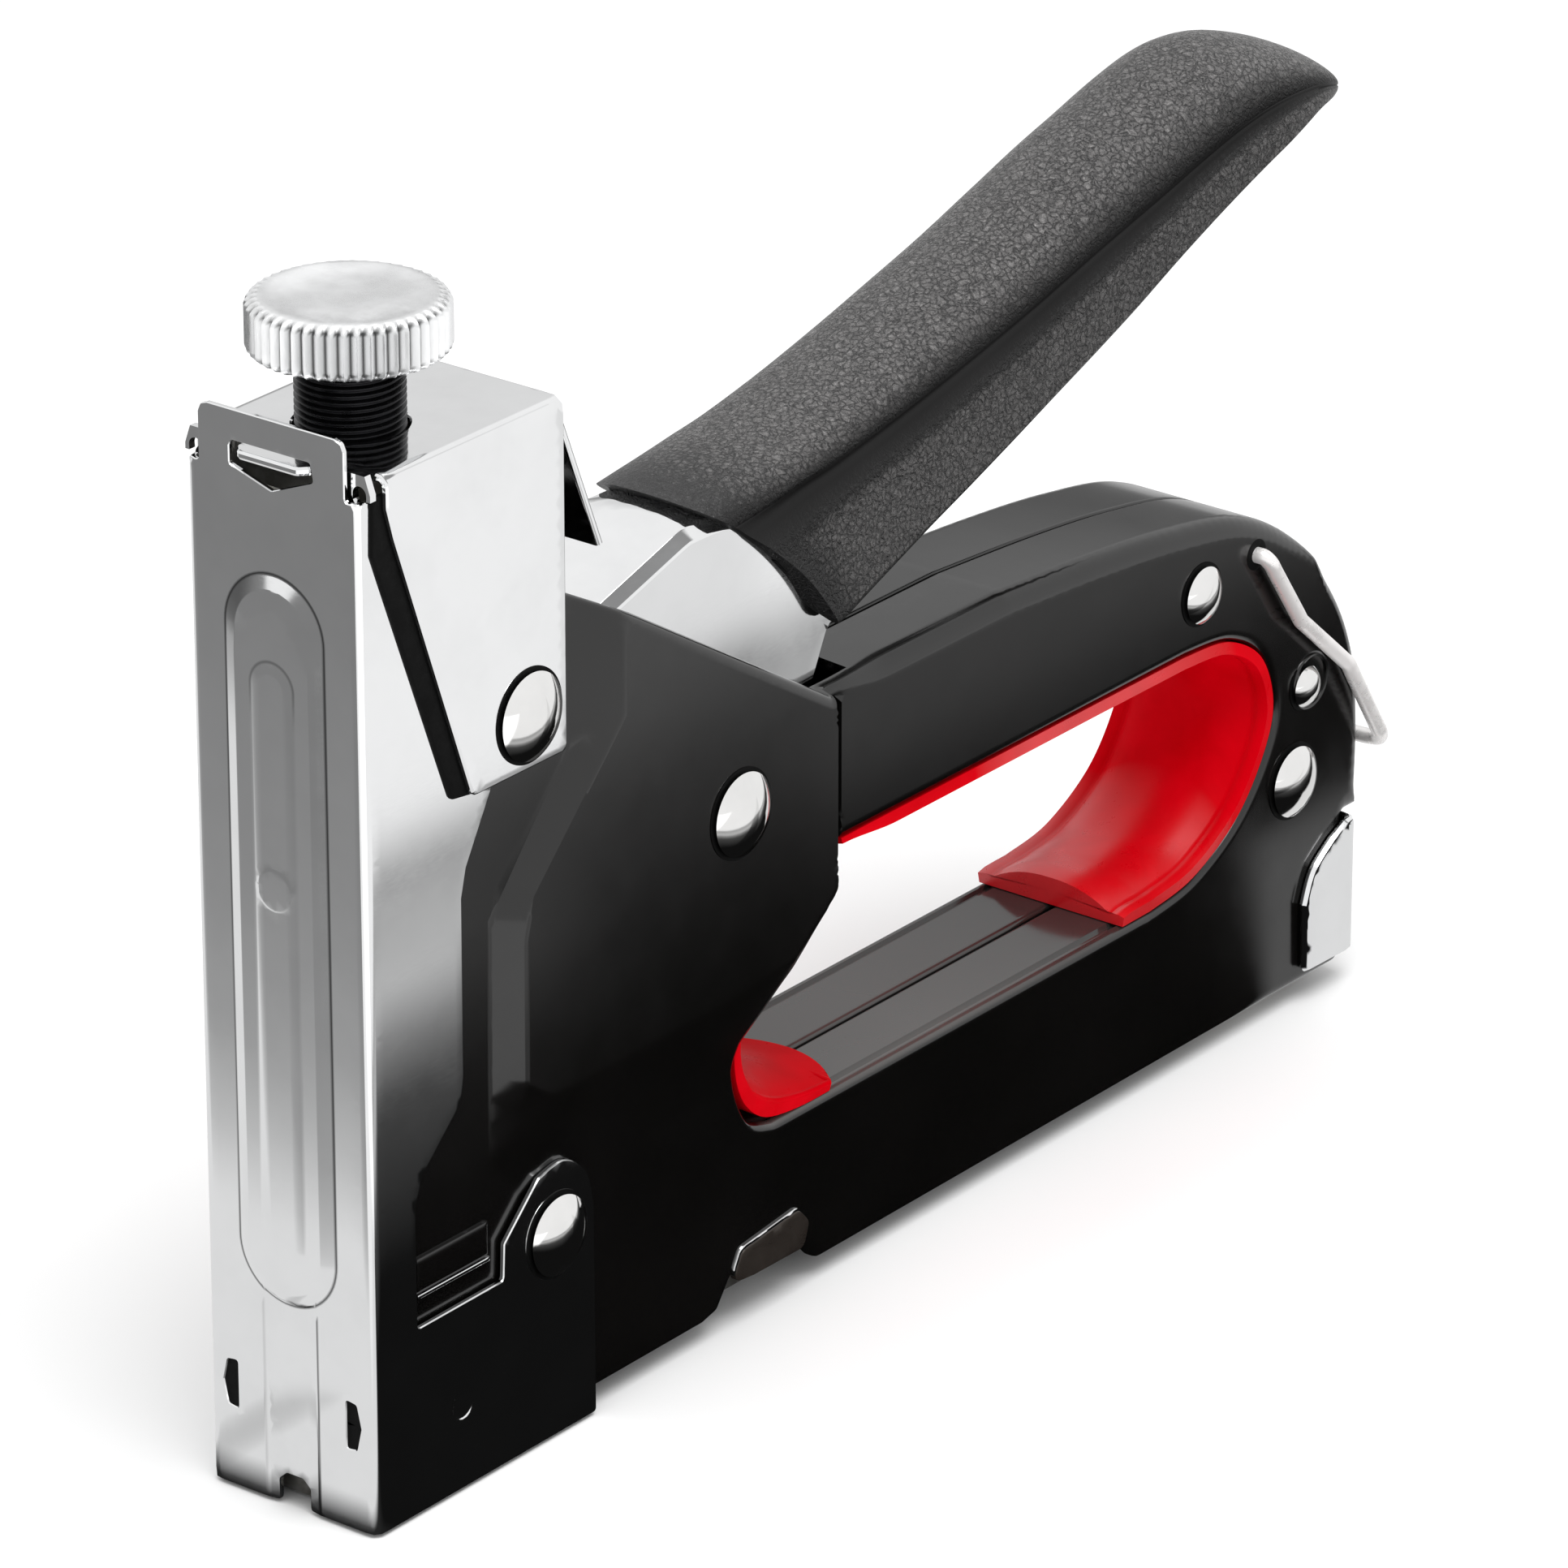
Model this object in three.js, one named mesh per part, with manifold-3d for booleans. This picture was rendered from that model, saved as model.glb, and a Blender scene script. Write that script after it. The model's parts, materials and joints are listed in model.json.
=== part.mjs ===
// Hand staple gun with a squeeze handle, a pull-out magazine and a drive-force knob.
// Units are millimetres. +X runs from the nose to the rear, +Y to the tool's left, +Z up.
// Every x below is counted from the front face of the nose. The group that holds the pieces is
// set forward by NOSE_SETBACK, so that the origin lies under the nose block.

import * as THREE from 'three';
import { mergeVertices } from 'three/addons/utils/BufferGeometryUtils.js';
import Module from 'manifold-3d';

const wasm = await Module();
wasm.setup();

// ---------------------------------------------------------------- driving dimensions

const NOSE_SETBACK = 6;          // frame origin, behind the front face of the nose
const GAP = 0.3;                 // clearance between neighbouring pieces

// body shells
const SHELL_WALL = 1.2;
const BODY_HALF = 10.5;          // half-width over the arms and the low front zone
const HEAD_HALF = 12.9;          // half-width over the raised head
const BODY_FRONT = 4.5;
const BODY_BOTTOM = 2;
const BODY_REAR = 182;
const CATCH_FRONT_OF_BODY = 178.4; // the body steps in here, below the rear catch
const CATCH_TOP = 20.9;
const ARM_TOP = 70.6;            // top of the upper arm
const HOLE_BOTTOM = 21.8;
const HOLE_TOP = 51.8;
const HEAD_TOP = 101.5;          // under the cap

// nose cover
const COVER_HALF = 11.5;
const COVER_SHEET = 0.7;
const COVER_SHOULDER = 116.2;
const COVER_TAB_HALF = 9.7;
const COVER_TAB_TOP = 123.6;
const FOOT_REAR = 36.8;
const NOTCH_HALF = 2.1;
const NOTCH_HEIGHT = 3.5;

// cap
const CAP_HALF = 12.8;
const CAP_SHEET = 1.0;
const CAP_FRONT = 3.2;
const CAP_REAR = 31.4;
const CAP_TOP = 119.6;
const CAP_BOTTOM = 80;
const TONGUE_HALF = 5;

// drive train, all on one vertical axis
const DRIVE_X = 12.6;            // axis of the spring, the screw and the knob
const SCREW_RADIUS = 5.8;
const KNOB_RADIUS = 10.7;
const KNOB_BOTTOM = 127.5;
const KNOB_TOP = 133.6;
const KNOB_TEETH = 48;
const KNOB_TOOTH_DEPTH = 0.45;
const KNOB_BEVEL = 0.8;
const SPRING_MEAN_RADIUS = 5.3;
const SPRING_WIRE = 2.2;
const SPRING_TURNS = 5.5;
const SEAT_BOTTOM = 109;
const SEAT_TOP = 111.4;
const STRIKER_HALF = 7.4;
const STRIKER_BOTTOM = 48;
const STRIKER_TOP = 74;
const BLADE_HALF = 5.4;
const BLADE_THICK = 1.2;
const BLADE_X = 2.3;
const BLADE_TIP = 0.4;

// lever
const PIVOT = { x: 60.4, z: 62.7 };
const LIFT = 14.2;               // stroke of the striker
const LEVER_HALF = 8;
const LEVER_SHEET = 1.5;
const ROLLER = { x: 10.4, z: PIVOT.z - LIFT / 2 };
const ROLLER_RADIUS = 3.2;
const LEVER_TAIL = 156;
const GRIP_HALF = 10.6;
const GRIP_SLOPE = 0.3;          // of the grip's back, in radians

// magazine
const CHANNEL_HALF = 7.6;
const CHANNEL_TOP = 19.4;
const CHANNEL_SHEET = 0.9;
const RAIL_HALF = 4.3;
const RAIL_TOP = 14.5;
const RAIL_BOTTOM = 4.2;
const PUSHER_HALF = 6.1;
const ROD_HEIGHT = 9.4;          // of the pusher's guide rod
const CATCH_HALF = 11.7;
const CATCH_REAR = 180.2;

// rivets: place, head radius, height of the head and the face that it rests on
const RIVETS = {
  cap_rivet: { x: 25.1, z: 86.1, head: 4.9, dome: 1.9, face: CAP_HALF },
  pivot_rivet: { x: PIVOT.x, z: PIVOT.z, head: 4.8, dome: 1.9, face: HEAD_HALF },
  nose_rivet: { x: 30.3, z: 23.8, head: 4.6, dome: 1.8, face: COVER_HALF },
  rear_upper_rivet: { x: 148.7, z: 58.6, head: 3.4, dome: 1.5, face: BODY_HALF },
  rear_lower_rivet: { x: 167.8, z: 28.8, head: 4.3, dome: 1.7, face: BODY_HALF },
  rear_small_rivet: { x: 169.8, z: 40.2, head: 2.5, dome: 1.3, face: BODY_HALF },
};
const SHANK_RADIUS = 2;
const BAIL_HOLE = { x: 159.5, z: 60 };
const BAIL_WIRE_RADIUS = 0.95;
const BAIL_HALF = 12.1;          // half-width to the middle of the wire

// ---------------------------------------------------------------- materials

function finish(color, roughness, metalness) {
  return new THREE.MeshStandardMaterial({ color, roughness, metalness });
}

const BLACK_PAINT = finish(0x161516, 0.35, 0.2);
const CHROME = finish(0xd9dadc, 0.12, 1);
const ZINC_STEEL = finish(0x9a9da0, 0.4, 0.9);
const BLUED_STEEL = finish(0x1c1c1e, 0.4, 0.8);
const RED_PLASTIC = finish(0xc8000f, 0.3, 0);
const BLACK_RUBBER = finish(0x2b2a2b, 0.6, 0);

// ---------------------------------------------------------------- solids

function toSolid(geometry) {
  geometry.deleteAttribute('normal');
  geometry.deleteAttribute('uv');
  const merged = mergeVertices(geometry, 1e-4);
  return new wasm.Manifold(new wasm.Mesh({
    numProp: 3,
    vertProperties: Float32Array.from(merged.attributes.position.array),
    triVerts: Uint32Array.from(merged.index.array),
  }));
}

function toGeometry(solid) {
  const mesh = solid.getMesh();
  const geometry = new THREE.BufferGeometry();
  geometry.setAttribute('position', new THREE.BufferAttribute(mesh.vertProperties, 3));
  geometry.setIndex(new THREE.BufferAttribute(mesh.triVerts, 1));
  return geometry;
}

function shapeOf(points) {
  return new THREE.Shape(points.map(([a, b]) => new THREE.Vector2(a, b)));
}

// A prism of an outline in X and Z, between two values of y.
function sidePlate(points, yLow, yHigh) {
  const settings = { depth: yHigh - yLow, bevelEnabled: false };
  const geometry = new THREE.ExtrudeGeometry(shapeOf(points), settings);
  return toSolid(geometry.rotateX(Math.PI / 2).translate(0, yHigh, 0));
}

// The same prism, symmetric about y = 0, with its two rims sloped or rounded.
function sidePlateWithRim(points, halfWidth, rimDepth, rimWidth, segments) {
  const geometry = new THREE.ExtrudeGeometry(shapeOf(points), {
    depth: 2 * (halfWidth - rimDepth),
    bevelEnabled: true,
    bevelThickness: rimDepth,
    bevelSize: rimWidth,
    bevelOffset: -rimWidth,
    bevelSegments: segments,
  });
  return toSolid(geometry.rotateX(Math.PI / 2).translate(0, halfWidth - rimDepth, 0));
}

const FACING_FORWARD = new THREE.Matrix4().makeBasis(
  new THREE.Vector3(0, 1, 0),
  new THREE.Vector3(0, 0, 1),
  new THREE.Vector3(1, 0, 0),
);

// A prism of an outline in Y and Z, between two values of x.
function frontPlate(points, xLow, xHigh) {
  const settings = { depth: xHigh - xLow, bevelEnabled: false };
  const geometry = new THREE.ExtrudeGeometry(shapeOf(points), settings);
  return toSolid(geometry.applyMatrix4(FACING_FORWARD).translate(xLow, 0, 0));
}

function block(xLow, xHigh, yLow, yHigh, zLow, zHigh) {
  const geometry = new THREE.BoxGeometry(xHigh - xLow, yHigh - yLow, zHigh - zLow);
  return toSolid(geometry.translate((xLow + xHigh) / 2, (yLow + yHigh) / 2, (zLow + zHigh) / 2));
}

// A round bar across the tool.
function crossBar(x, z, radius, yLow, yHigh, segments = 24) {
  const geometry = new THREE.CylinderGeometry(radius, radius, yHigh - yLow, segments);
  return toSolid(geometry.translate(x, (yLow + yHigh) / 2, z));
}

// A round bar on the drive axis.
function driveBar(radius, zLow, zHigh, segments = 32) {
  const geometry = new THREE.CylinderGeometry(radius, radius, zHigh - zLow, segments);
  return toSolid(geometry.rotateX(Math.PI / 2).translate(DRIVE_X, 0, (zLow + zHigh) / 2));
}

// A wire along a three-dimensional curve, with an even number of sides.
function wire(curve, radius, steps, sides) {
  const circle = new THREE.Shape().absarc(0, 0, radius, 0, 2 * Math.PI, false);
  const settings = { extrudePath: curve, steps, curveSegments: sides / 2 };
  return toSolid(new THREE.ExtrudeGeometry(circle, settings));
}

// A smooth stretch of an outline through a few points.
function smooth(points, steps) {
  const curve = new THREE.SplineCurve(points.map(([a, b]) => new THREE.Vector2(a, b)));
  return curve.getPoints(steps).map((point) => [point.x, point.y]);
}

// The outline moved sideways by a distance: positive grows an anticlockwise outline.
function offsetOutline(points, distance) {
  const count = points.length;
  return points.map(([x, z], index) => {
    const [px, pz] = points[(index + count - 1) % count];
    const [nx, nz] = points[(index + 1) % count];
    const before = new THREE.Vector2(z - pz, px - x).normalize();
    const after = new THREE.Vector2(nz - z, x - nx).normalize();
    const bisector = before.clone().add(after);
    const reach = (2 * distance) / bisector.lengthSq();
    return [x + bisector.x * reach, z + bisector.y * reach];
  });
}

// A block on both sides of the mid-plane, between two distances from it.
function blockPair(xLow, xHigh, near, far, zLow, zHigh) {
  return [block(xLow, xHigh, near, far, zLow, zHigh), block(xLow, xHigh, -far, -near, zLow, zHigh)];
}

// A prism of one outline in X and Z on both sides, between two distances from the mid-plane.
function sidePlatePair(points, near, far) {
  return [sidePlate(points, near, far), sidePlate(points, -far, -near)];
}

function joined(solids) {
  return solids.reduce((sum, solid) => sum.add(solid));
}

function cutBy(solid, cutters) {
  return cutters.reduce((rest, cutter) => rest.subtract(cutter), solid);
}

const tool = new THREE.Group();
tool.position.x = -NOSE_SETBACK;

function addPiece(name, solid, material) {
  const mesh = new THREE.Mesh(toGeometry(solid), material);
  mesh.name = name;
  tool.add(mesh);
}

// ---------------------------------------------------------------- outlines of the body

// Anticlockwise in X and Z.
function bodyOutline() {
  const fingerNotch = [
    [56.9, BODY_BOTTOM], [59.5, 2.6], [62, 6], [73, 7.1], [75.4, 4.2], [77.4, BODY_BOTTOM],
  ];
  const rearCurve = smooth([
    [BODY_REAR, 22], [182.2, 32], [180.7, 41.8], [176.2, 50.5],
    [168.5, 59.1], [158, 64.9], [145, 67.6], [130, 69.3], [112, ARM_TOP],
  ], 24);
  return [
    [BODY_FRONT, BODY_BOTTOM],
    ...fingerNotch,
    [CATCH_FRONT_OF_BODY, BODY_BOTTOM],
    [CATCH_FRONT_OF_BODY, CATCH_TOP],
    [BODY_REAR, CATCH_TOP],
    ...rearCurve,
    [77, ARM_TOP],
    [42.8, 91.6],
    [32.3, 97.3],
    [24, HEAD_TOP],
    [BODY_FRONT, HEAD_TOP],
  ];
}

// The hole for the fingers, anticlockwise, without the liners.
function handHoleOutline() {
  const rearEnd = smooth([
    [140, HOLE_BOTTOM], [148.4, 23.1], [156.9, 27.6], [162.4, 34.1],
    [164.2, 40.2], [161.4, 46.8], [154.6, 50.8], [146, HOLE_TOP],
  ], 20);
  const frontEnd = smooth([
    [81.5, HOLE_TOP], [78.4, 47.6], [75, 43.8], [70.8, 39.6], [67, 36.4],
  ], 8);
  const lowerCorner = smooth([
    [63.2, 33.6], [62.4, 30.6], [63.4, 26.4], [65.6, 23.2], [69.5, HOLE_BOTTOM],
  ], 8);
  return [...rearEnd, ...frontEnd, ...lowerCorner];
}

// The raised head of the body. Its front rim slopes down to the low front zone.
const HEAD_RISE = HEAD_HALF - BODY_HALF;
const HEAD_SLOPE_WIDTH = 4.6;
const HEAD_BOTTOM = 33.6;
const HEAD_FRONT_LINE = [[34, 78.5], [21, 63.5], [20.5, HEAD_BOTTOM]];
const HEAD_REAR = 77.8;

function headSolid() {
  const spare = 12; // the sloped rim is kept at the front only, so the other sides start outside
  const blank = [
    ...HEAD_FRONT_LINE,
    [HEAD_REAR + spare, HEAD_BOTTOM],
    [HEAD_REAR + spare, HEAD_TOP + spare],
    [34, HEAD_TOP + spare],
  ];
  const trim = [
    [20, 20], [66, 20], [66, 36.6], [70.8, 40.4], [HEAD_REAR - 1.4, 46.6], [HEAD_REAR, 50.6],
    [HEAD_REAR, 69.6], [42.8, 91.6], [32.3, 97.3], [20, 97.3],
  ];
  const raised = sidePlateWithRim(blank, HEAD_HALF, HEAD_RISE, HEAD_SLOPE_WIDTH, 1);
  return raised.intersect(sidePlate(trim, -HEAD_HALF, HEAD_HALF));
}

function rivetHoles(names, halfWidth) {
  return names.map((name) => {
    const { x, z } = RIVETS[name];
    return crossBar(x, z, SHANK_RADIUS + GAP, -halfWidth, halfWidth, 20);
  });
}

// Both shells as one solid. The two halves are cut from it.
function bodyShell() {
  const outline = bodyOutline();
  const hole = handHoleOutline();
  const outside = sidePlate(outline, -BODY_HALF, BODY_HALF).add(headSolid());
  const holeCutter = sidePlate(hole, -2 * HEAD_HALF, 2 * HEAD_HALF);
  const insideHalf = BODY_HALF - SHELL_WALL;
  const cavity = sidePlate(offsetOutline(outline, -SHELL_WALL), -insideHalf, insideHalf)
    .subtract(sidePlate(offsetOutline(hole, SHELL_WALL), -insideHalf, insideHalf));
  const openings = [
    block(0, 200, -8.2, 8.2, 0, 18),                        // the magazine, open below and behind
    block(BODY_FRONT - 1, 20, -insideHalf, insideHalf, 0, HEAD_TOP + 1),
    block(30, 44, -insideHalf, insideHalf, 80, HEAD_TOP + 1),
    block(34, 88, -LEVER_HALF - 0.6, LEVER_HALF + 0.6, 62, 99),
    block(BODY_FRONT - 1, 34, -insideHalf, insideHalf, 95, HEAD_TOP + 1),
    crossBar(BAIL_HOLE.x, BAIL_HOLE.z, BAIL_WIRE_RADIUS + GAP, -BODY_HALF - 1, BODY_HALF + 1, 16),
  ];
  const shell = cutBy(outside, [holeCutter, cavity, ...openings]);
  return cutBy(shell, rivetHoles(Object.keys(RIVETS), HEAD_HALF + 1));
}

const shell = bodyShell();
const rightHalf = block(-50, 250, -50, -GAP / 2, -50, 200);
const leftHalf = block(-50, 250, GAP / 2, 50, -50, 200);
addPiece('right_shell', shell.intersect(rightHalf), BLACK_PAINT);
addPiece('left_shell', shell.intersect(leftHalf), BLACK_PAINT);

// ---------------------------------------------------------------- nose

// Side flange of the nose cover: narrow beside the shells, with a foot at the bottom.
function coverFlangeOutline() {
  return [
    [0, 0],
    [FOOT_REAR, 0],
    ...smooth([[36.7, 25], [35.4, 29.4], [31.6, 32.1], [27.4, 31.5]], 8),
    [21.6, 26],
    [21.4, 21.8],
    [7.2, 21.7],
    [7.2, 36],
    [8.4, 39.2],
    [14.8, 45.2],
    [15.3, 48],
    [15.4, 68.4],
    [16.2, 71.6],
    [20.4, 79],
    [20.4, 96],
    [1.6, 117],
    [0, 117],
  ];
}

function coverFaceOutline() {
  const half = [
    [COVER_HALF, 0],
    [COVER_HALF, COVER_SHOULDER],
    [COVER_TAB_HALF, COVER_SHOULDER],
    [COVER_TAB_HALF, COVER_TAB_TOP - 1.2],
    [COVER_TAB_HALF - 0.4, COVER_TAB_TOP - 0.4],
    [COVER_TAB_HALF - 1.2, COVER_TAB_TOP],
  ];
  const otherHalf = half.map(([y, z]) => [-y, z]).reverse();
  return [...half, ...otherHalf];
}

// A long oval that stands in relief on the face.
function ovalOutline(halfWidth, zLow, zHigh, arcSteps) {
  const path = new THREE.Shape();
  path.absarc(0, zHigh - halfWidth, halfWidth, 0, Math.PI, false);
  path.absarc(0, zLow + halfWidth, halfWidth, Math.PI, 2 * Math.PI, false);
  return path.getPoints(arcSteps).slice(0, -1).map((point) => [point.x, point.y]);
}

function coverWindow(side) {
  const outline = [[7.5, 9.3], [8.7, 9.3], [9.35, 10.2], [9.35, 14.1], [8.7, 15], [7.5, 15]];
  const placed = outline.map(([y, z]) => [side * y, z]);
  return frontPlate(side > 0 ? placed : placed.reverse(), -2, 2);
}

function noseCover() {
  const face = frontPlate(coverFaceOutline(), 0, COVER_SHEET);
  const flanges = sidePlatePair(coverFlangeOutline(), COVER_HALF - COVER_SHEET, COVER_HALF);
  const relief = joined([
    frontPlate(ovalOutline(6.6, 23.8, 106.8, 12), -0.4, COVER_SHEET),
    frontPlate(ovalOutline(4.3, 27, 102, 12), -0.8, COVER_SHEET),
    block(-0.35, COVER_SHEET, -3.9, 3.9, 0, 26),
  ]);
  const slot = [[-5.6, 117.6], [0, 115.9], [5.6, 117.6], [5.6, 120.2], [-5.6, 120.2]];
  const cutters = [
    frontPlate(slot, -2, 2),
    block(-2, 2, -NOTCH_HALF, NOTCH_HALF, -1, NOTCH_HEIGHT),
    coverWindow(1),
    coverWindow(-1),
    ...rivetHoles(['nose_rivet'], COVER_HALF + 1),
  ];
  return cutBy(joined([face, ...flanges, relief]), cutters);
}
addPiece('nose_cover', noseCover(), CHROME);

// Inner channel that guides the striker, with one hooked ear on each side at its top.
const GUIDE_FRONT = COVER_SHEET + GAP;
const GUIDE_SHEET = 0.9;
const GUIDE_HALF = BODY_HALF - SHELL_WALL - GAP;

function driverGuide() {
  const web = block(GUIDE_FRONT, GUIDE_FRONT + GUIDE_SHEET, -GUIDE_HALF, GUIDE_HALF, 3.8, 115.5);
  const flangeOutline = [[GUIDE_FRONT, 34], [14, 34], [20, 44], [20, 96], [9, 111], [GUIDE_FRONT, 111]];
  const flanges = sidePlatePair(flangeOutline, GUIDE_HALF - GUIDE_SHEET, GUIDE_HALF);
  const ears = frontPlate([
    [-12.3, 118], [-12.3, 114.6], [-11.2, 113.4], [11.2, 113.4], [12.3, 114.6], [12.3, 118], [11.6, 120],
    [6.4, 120], [6.4, 115.2], [-6.4, 115.2], [-6.4, 120], [-11.6, 120],
  ], GUIDE_FRONT, GUIDE_FRONT + GUIDE_SHEET);
  const earHoles = [-1, 1].map((side) => frontPlate(
    ovalOutline(0.9, 116.6, 118.8, 5).map(([y, z]) => [y + side * 10.9, z]), 0, 3,
  ));
  const coverCorners = blockPair(0, 3, COVER_HALF - COVER_SHEET - GAP, 13, 100, 117.3);
  return cutBy(joined([web, ...flanges, cutBy(ears, coverCorners)]), earHoles);
}
addPiece('driver_guide', driverGuide(), BLUED_STEEL);

// Block behind the nose cover. Its flat underside is the working face of the tool.
const NOSE_BLOCK_FRONT = BLADE_X + BLADE_THICK + GAP;
const NOSE_BLOCK_REAR = 12.6;

function noseBlock() {
  const outerHalf = GUIDE_HALF - 0.6;
  const sole = block(NOSE_BLOCK_FRONT, NOSE_BLOCK_REAR, -outerHalf, outerHalf, 0, 3.6);
  return joined([sole, ...blockPair(NOSE_BLOCK_FRONT, NOSE_BLOCK_REAR, 6.8, outerHalf, 0, 21)]);
}
addPiece('nose_block', noseBlock(), ZINC_STEEL);

// Rubber pad that stops the striker at the end of its stroke.
addPiece('stop_bumper', block(NOSE_BLOCK_FRONT + 1, 19, -7, 7, 41, 47.4), BLACK_RUBBER);

// ---------------------------------------------------------------- cap and drive-force adjuster

function capSideOutline() {
  return [
    [16.1, CAP_BOTTOM], [CAP_REAR, CAP_BOTTOM], [CAP_REAR, CAP_TOP], [CAP_FRONT, CAP_TOP],
    [CAP_FRONT, 116], [4.3, 112.3],
  ];
}

function topCap() {
  const innerHalf = CAP_HALF - CAP_SHEET;
  const blank = sidePlateWithRim(capSideOutline(), CAP_HALF, 0.8, 0.8, 2);
  const hollow = block(0, CAP_REAR + 1, -innerHalf, innerHalf, CAP_BOTTOM - 1, CAP_TOP - CAP_SHEET);
  const tongue = block(-0.9, CAP_FRONT + 2, -TONGUE_HALF, TONGUE_HALF, CAP_TOP - CAP_SHEET, CAP_TOP);
  const lip = [
    [CAP_REAR - 1.5, CAP_TOP - CAP_SHEET], [CAP_REAR - 0.4, CAP_TOP - 3], [37.4, 100.4], [38.5, 100.9],
    [32.2, CAP_TOP - 2], [CAP_REAR - 0.6, CAP_TOP],
  ];
  const rearLip = sidePlate(lip, -innerHalf, innerHalf);
  const cutters = [hollow, driveBar(SCREW_RADIUS + GAP, CAP_TOP - 3, CAP_TOP + 1)];
  return cutBy(joined([cutBy(blank, cutters), tongue, rearLip]), rivetHoles(['cap_rivet'], CAP_HALF + 1));
}
addPiece('top_cap', topCap(), CHROME);

// Threaded plate under the roof of the cap. The screw turns in it.
function adjusterNut() {
  const plate = block(5, 26, -10.8, 10.8, 112.6, CAP_TOP - CAP_SHEET - GAP);
  return plate.subtract(driveBar(SCREW_RADIUS + GAP, 110, CAP_TOP));
}
addPiece('adjuster_nut', adjusterNut(), ZINC_STEEL);

// The spigot that centres an end of the main spring, between two heights.
function springSpigot(zLow, zHigh) {
  return driveBar(SPRING_MEAN_RADIUS - SPRING_WIRE / 2 - GAP, zLow, zHigh, 20);
}

function springSeat() {
  const cup = driveBar(7.2, SEAT_BOTTOM, SEAT_TOP);
  return cup.add(springSpigot(SEAT_BOTTOM - 4, SEAT_BOTTOM + 0.5));
}
addPiece('spring_seat', springSeat(), ZINC_STEEL);

function adjusterScrew() {
  return driveBar(SCREW_RADIUS, SEAT_TOP + GAP, KNOB_BOTTOM + 3);
}
addPiece('adjuster_screw', adjusterScrew(), BLUED_STEEL);

// The knurled rim is a toothed outline between two plain rims.
function adjusterKnob() {
  const rootRadius = KNOB_RADIUS - KNOB_TOOTH_DEPTH;
  const toothed = new THREE.Shape();
  for (let index = 0; index < 2 * KNOB_TEETH; index += 1) {
    const angle = (index * Math.PI) / KNOB_TEETH;
    const radius = index % 2 === 0 ? KNOB_RADIUS : rootRadius;
    toothed[index === 0 ? 'moveTo' : 'lineTo'](radius * Math.cos(angle), radius * Math.sin(angle));
  }
  const bandDepth = KNOB_TOP - KNOB_BOTTOM - 2 * KNOB_BEVEL;
  const band = new THREE.ExtrudeGeometry(toothed, { depth: bandDepth, bevelEnabled: false });
  const knurl = toSolid(band.translate(DRIVE_X, 0, KNOB_BOTTOM + KNOB_BEVEL));
  const profile = [
    [0, KNOB_BOTTOM], [KNOB_RADIUS - 1.1, KNOB_BOTTOM], [rootRadius, KNOB_BOTTOM + KNOB_BEVEL],
    [rootRadius, KNOB_TOP - KNOB_BEVEL], [KNOB_RADIUS - 0.9, KNOB_TOP - 0.2], [0, KNOB_TOP],
  ].map(([radius, z]) => new THREE.Vector2(radius, z));
  const turned = new THREE.LatheGeometry(profile, KNOB_TEETH).rotateX(Math.PI / 2);
  const core = toSolid(turned.translate(DRIVE_X, 0, 0));
  const socket = driveBar(SCREW_RADIUS + GAP, KNOB_BOTTOM - 1, KNOB_BOTTOM + 3 + GAP);
  return knurl.add(core).subtract(socket);
}
addPiece('adjuster_knob', adjusterKnob(), CHROME);

// ---------------------------------------------------------------- striker and its spring

// A helix from one point to another, around the straight line between them.
class Coil extends THREE.Curve {
  constructor(start, end, radius, turns) {
    super();
    const along = end.clone().sub(start).normalize();
    const across = new THREE.Vector3(0, 1, 0);
    Object.assign(this, { start, end, radius, turns, across, third: along.clone().cross(across) });
  }

  getPoint(t, target = new THREE.Vector3()) {
    const angle = 2 * Math.PI * this.turns * t;
    return target.lerpVectors(this.start, this.end, t)
      .addScaledVector(this.across, this.radius * Math.cos(angle))
      .addScaledVector(this.third, this.radius * Math.sin(angle));
  }
}

function mainSpring() {
  const halfWire = SPRING_WIRE / 2;
  const start = new THREE.Vector3(DRIVE_X, 0, STRIKER_TOP + halfWire + GAP);
  const end = new THREE.Vector3(DRIVE_X, 0, SEAT_BOTTOM - halfWire - GAP);
  return wire(new Coil(start, end, SPRING_MEAN_RADIUS, SPRING_TURNS), halfWire, 12 * SPRING_TURNS, 8);
}
addPiece('main_spring', mainSpring(), BLUED_STEEL);

// The pocket in the back of the striker takes the roller on the lever's tip.
function strikerBlock() {
  const body = sidePlate([
    [3.9, STRIKER_BOTTOM], [16, STRIKER_BOTTOM], [16, 64], [19.2, 69],
    [19.2, STRIKER_TOP], [3.9, STRIKER_TOP],
  ], -STRIKER_HALF, STRIKER_HALF);
  const reach = ROLLER_RADIUS + 0.4;
  const pocketOutline = [
    [-reach - 0.4, -reach], [2, -reach - 0.2], [10, -reach - 2.4],
    [10, reach + 0.6], [-reach - 0.4, reach],
  ];
  const pocket = sidePlate(pocketOutline.map(([x, z]) => [ROLLER.x + x, ROLLER.z + z]), -6.7, 6.7);
  return body.subtract(pocket).add(springSpigot(STRIKER_TOP - 0.5, STRIKER_TOP + 4));
}
addPiece('striker_block', strikerBlock(), ZINC_STEEL);

const driverBlade = block(BLADE_X, BLADE_X + BLADE_THICK, -BLADE_HALF, BLADE_HALF, BLADE_TIP, 70);
addPiece('driver_blade', driverBlade, ZINC_STEEL);

// ---------------------------------------------------------------- lever and grip

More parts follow.
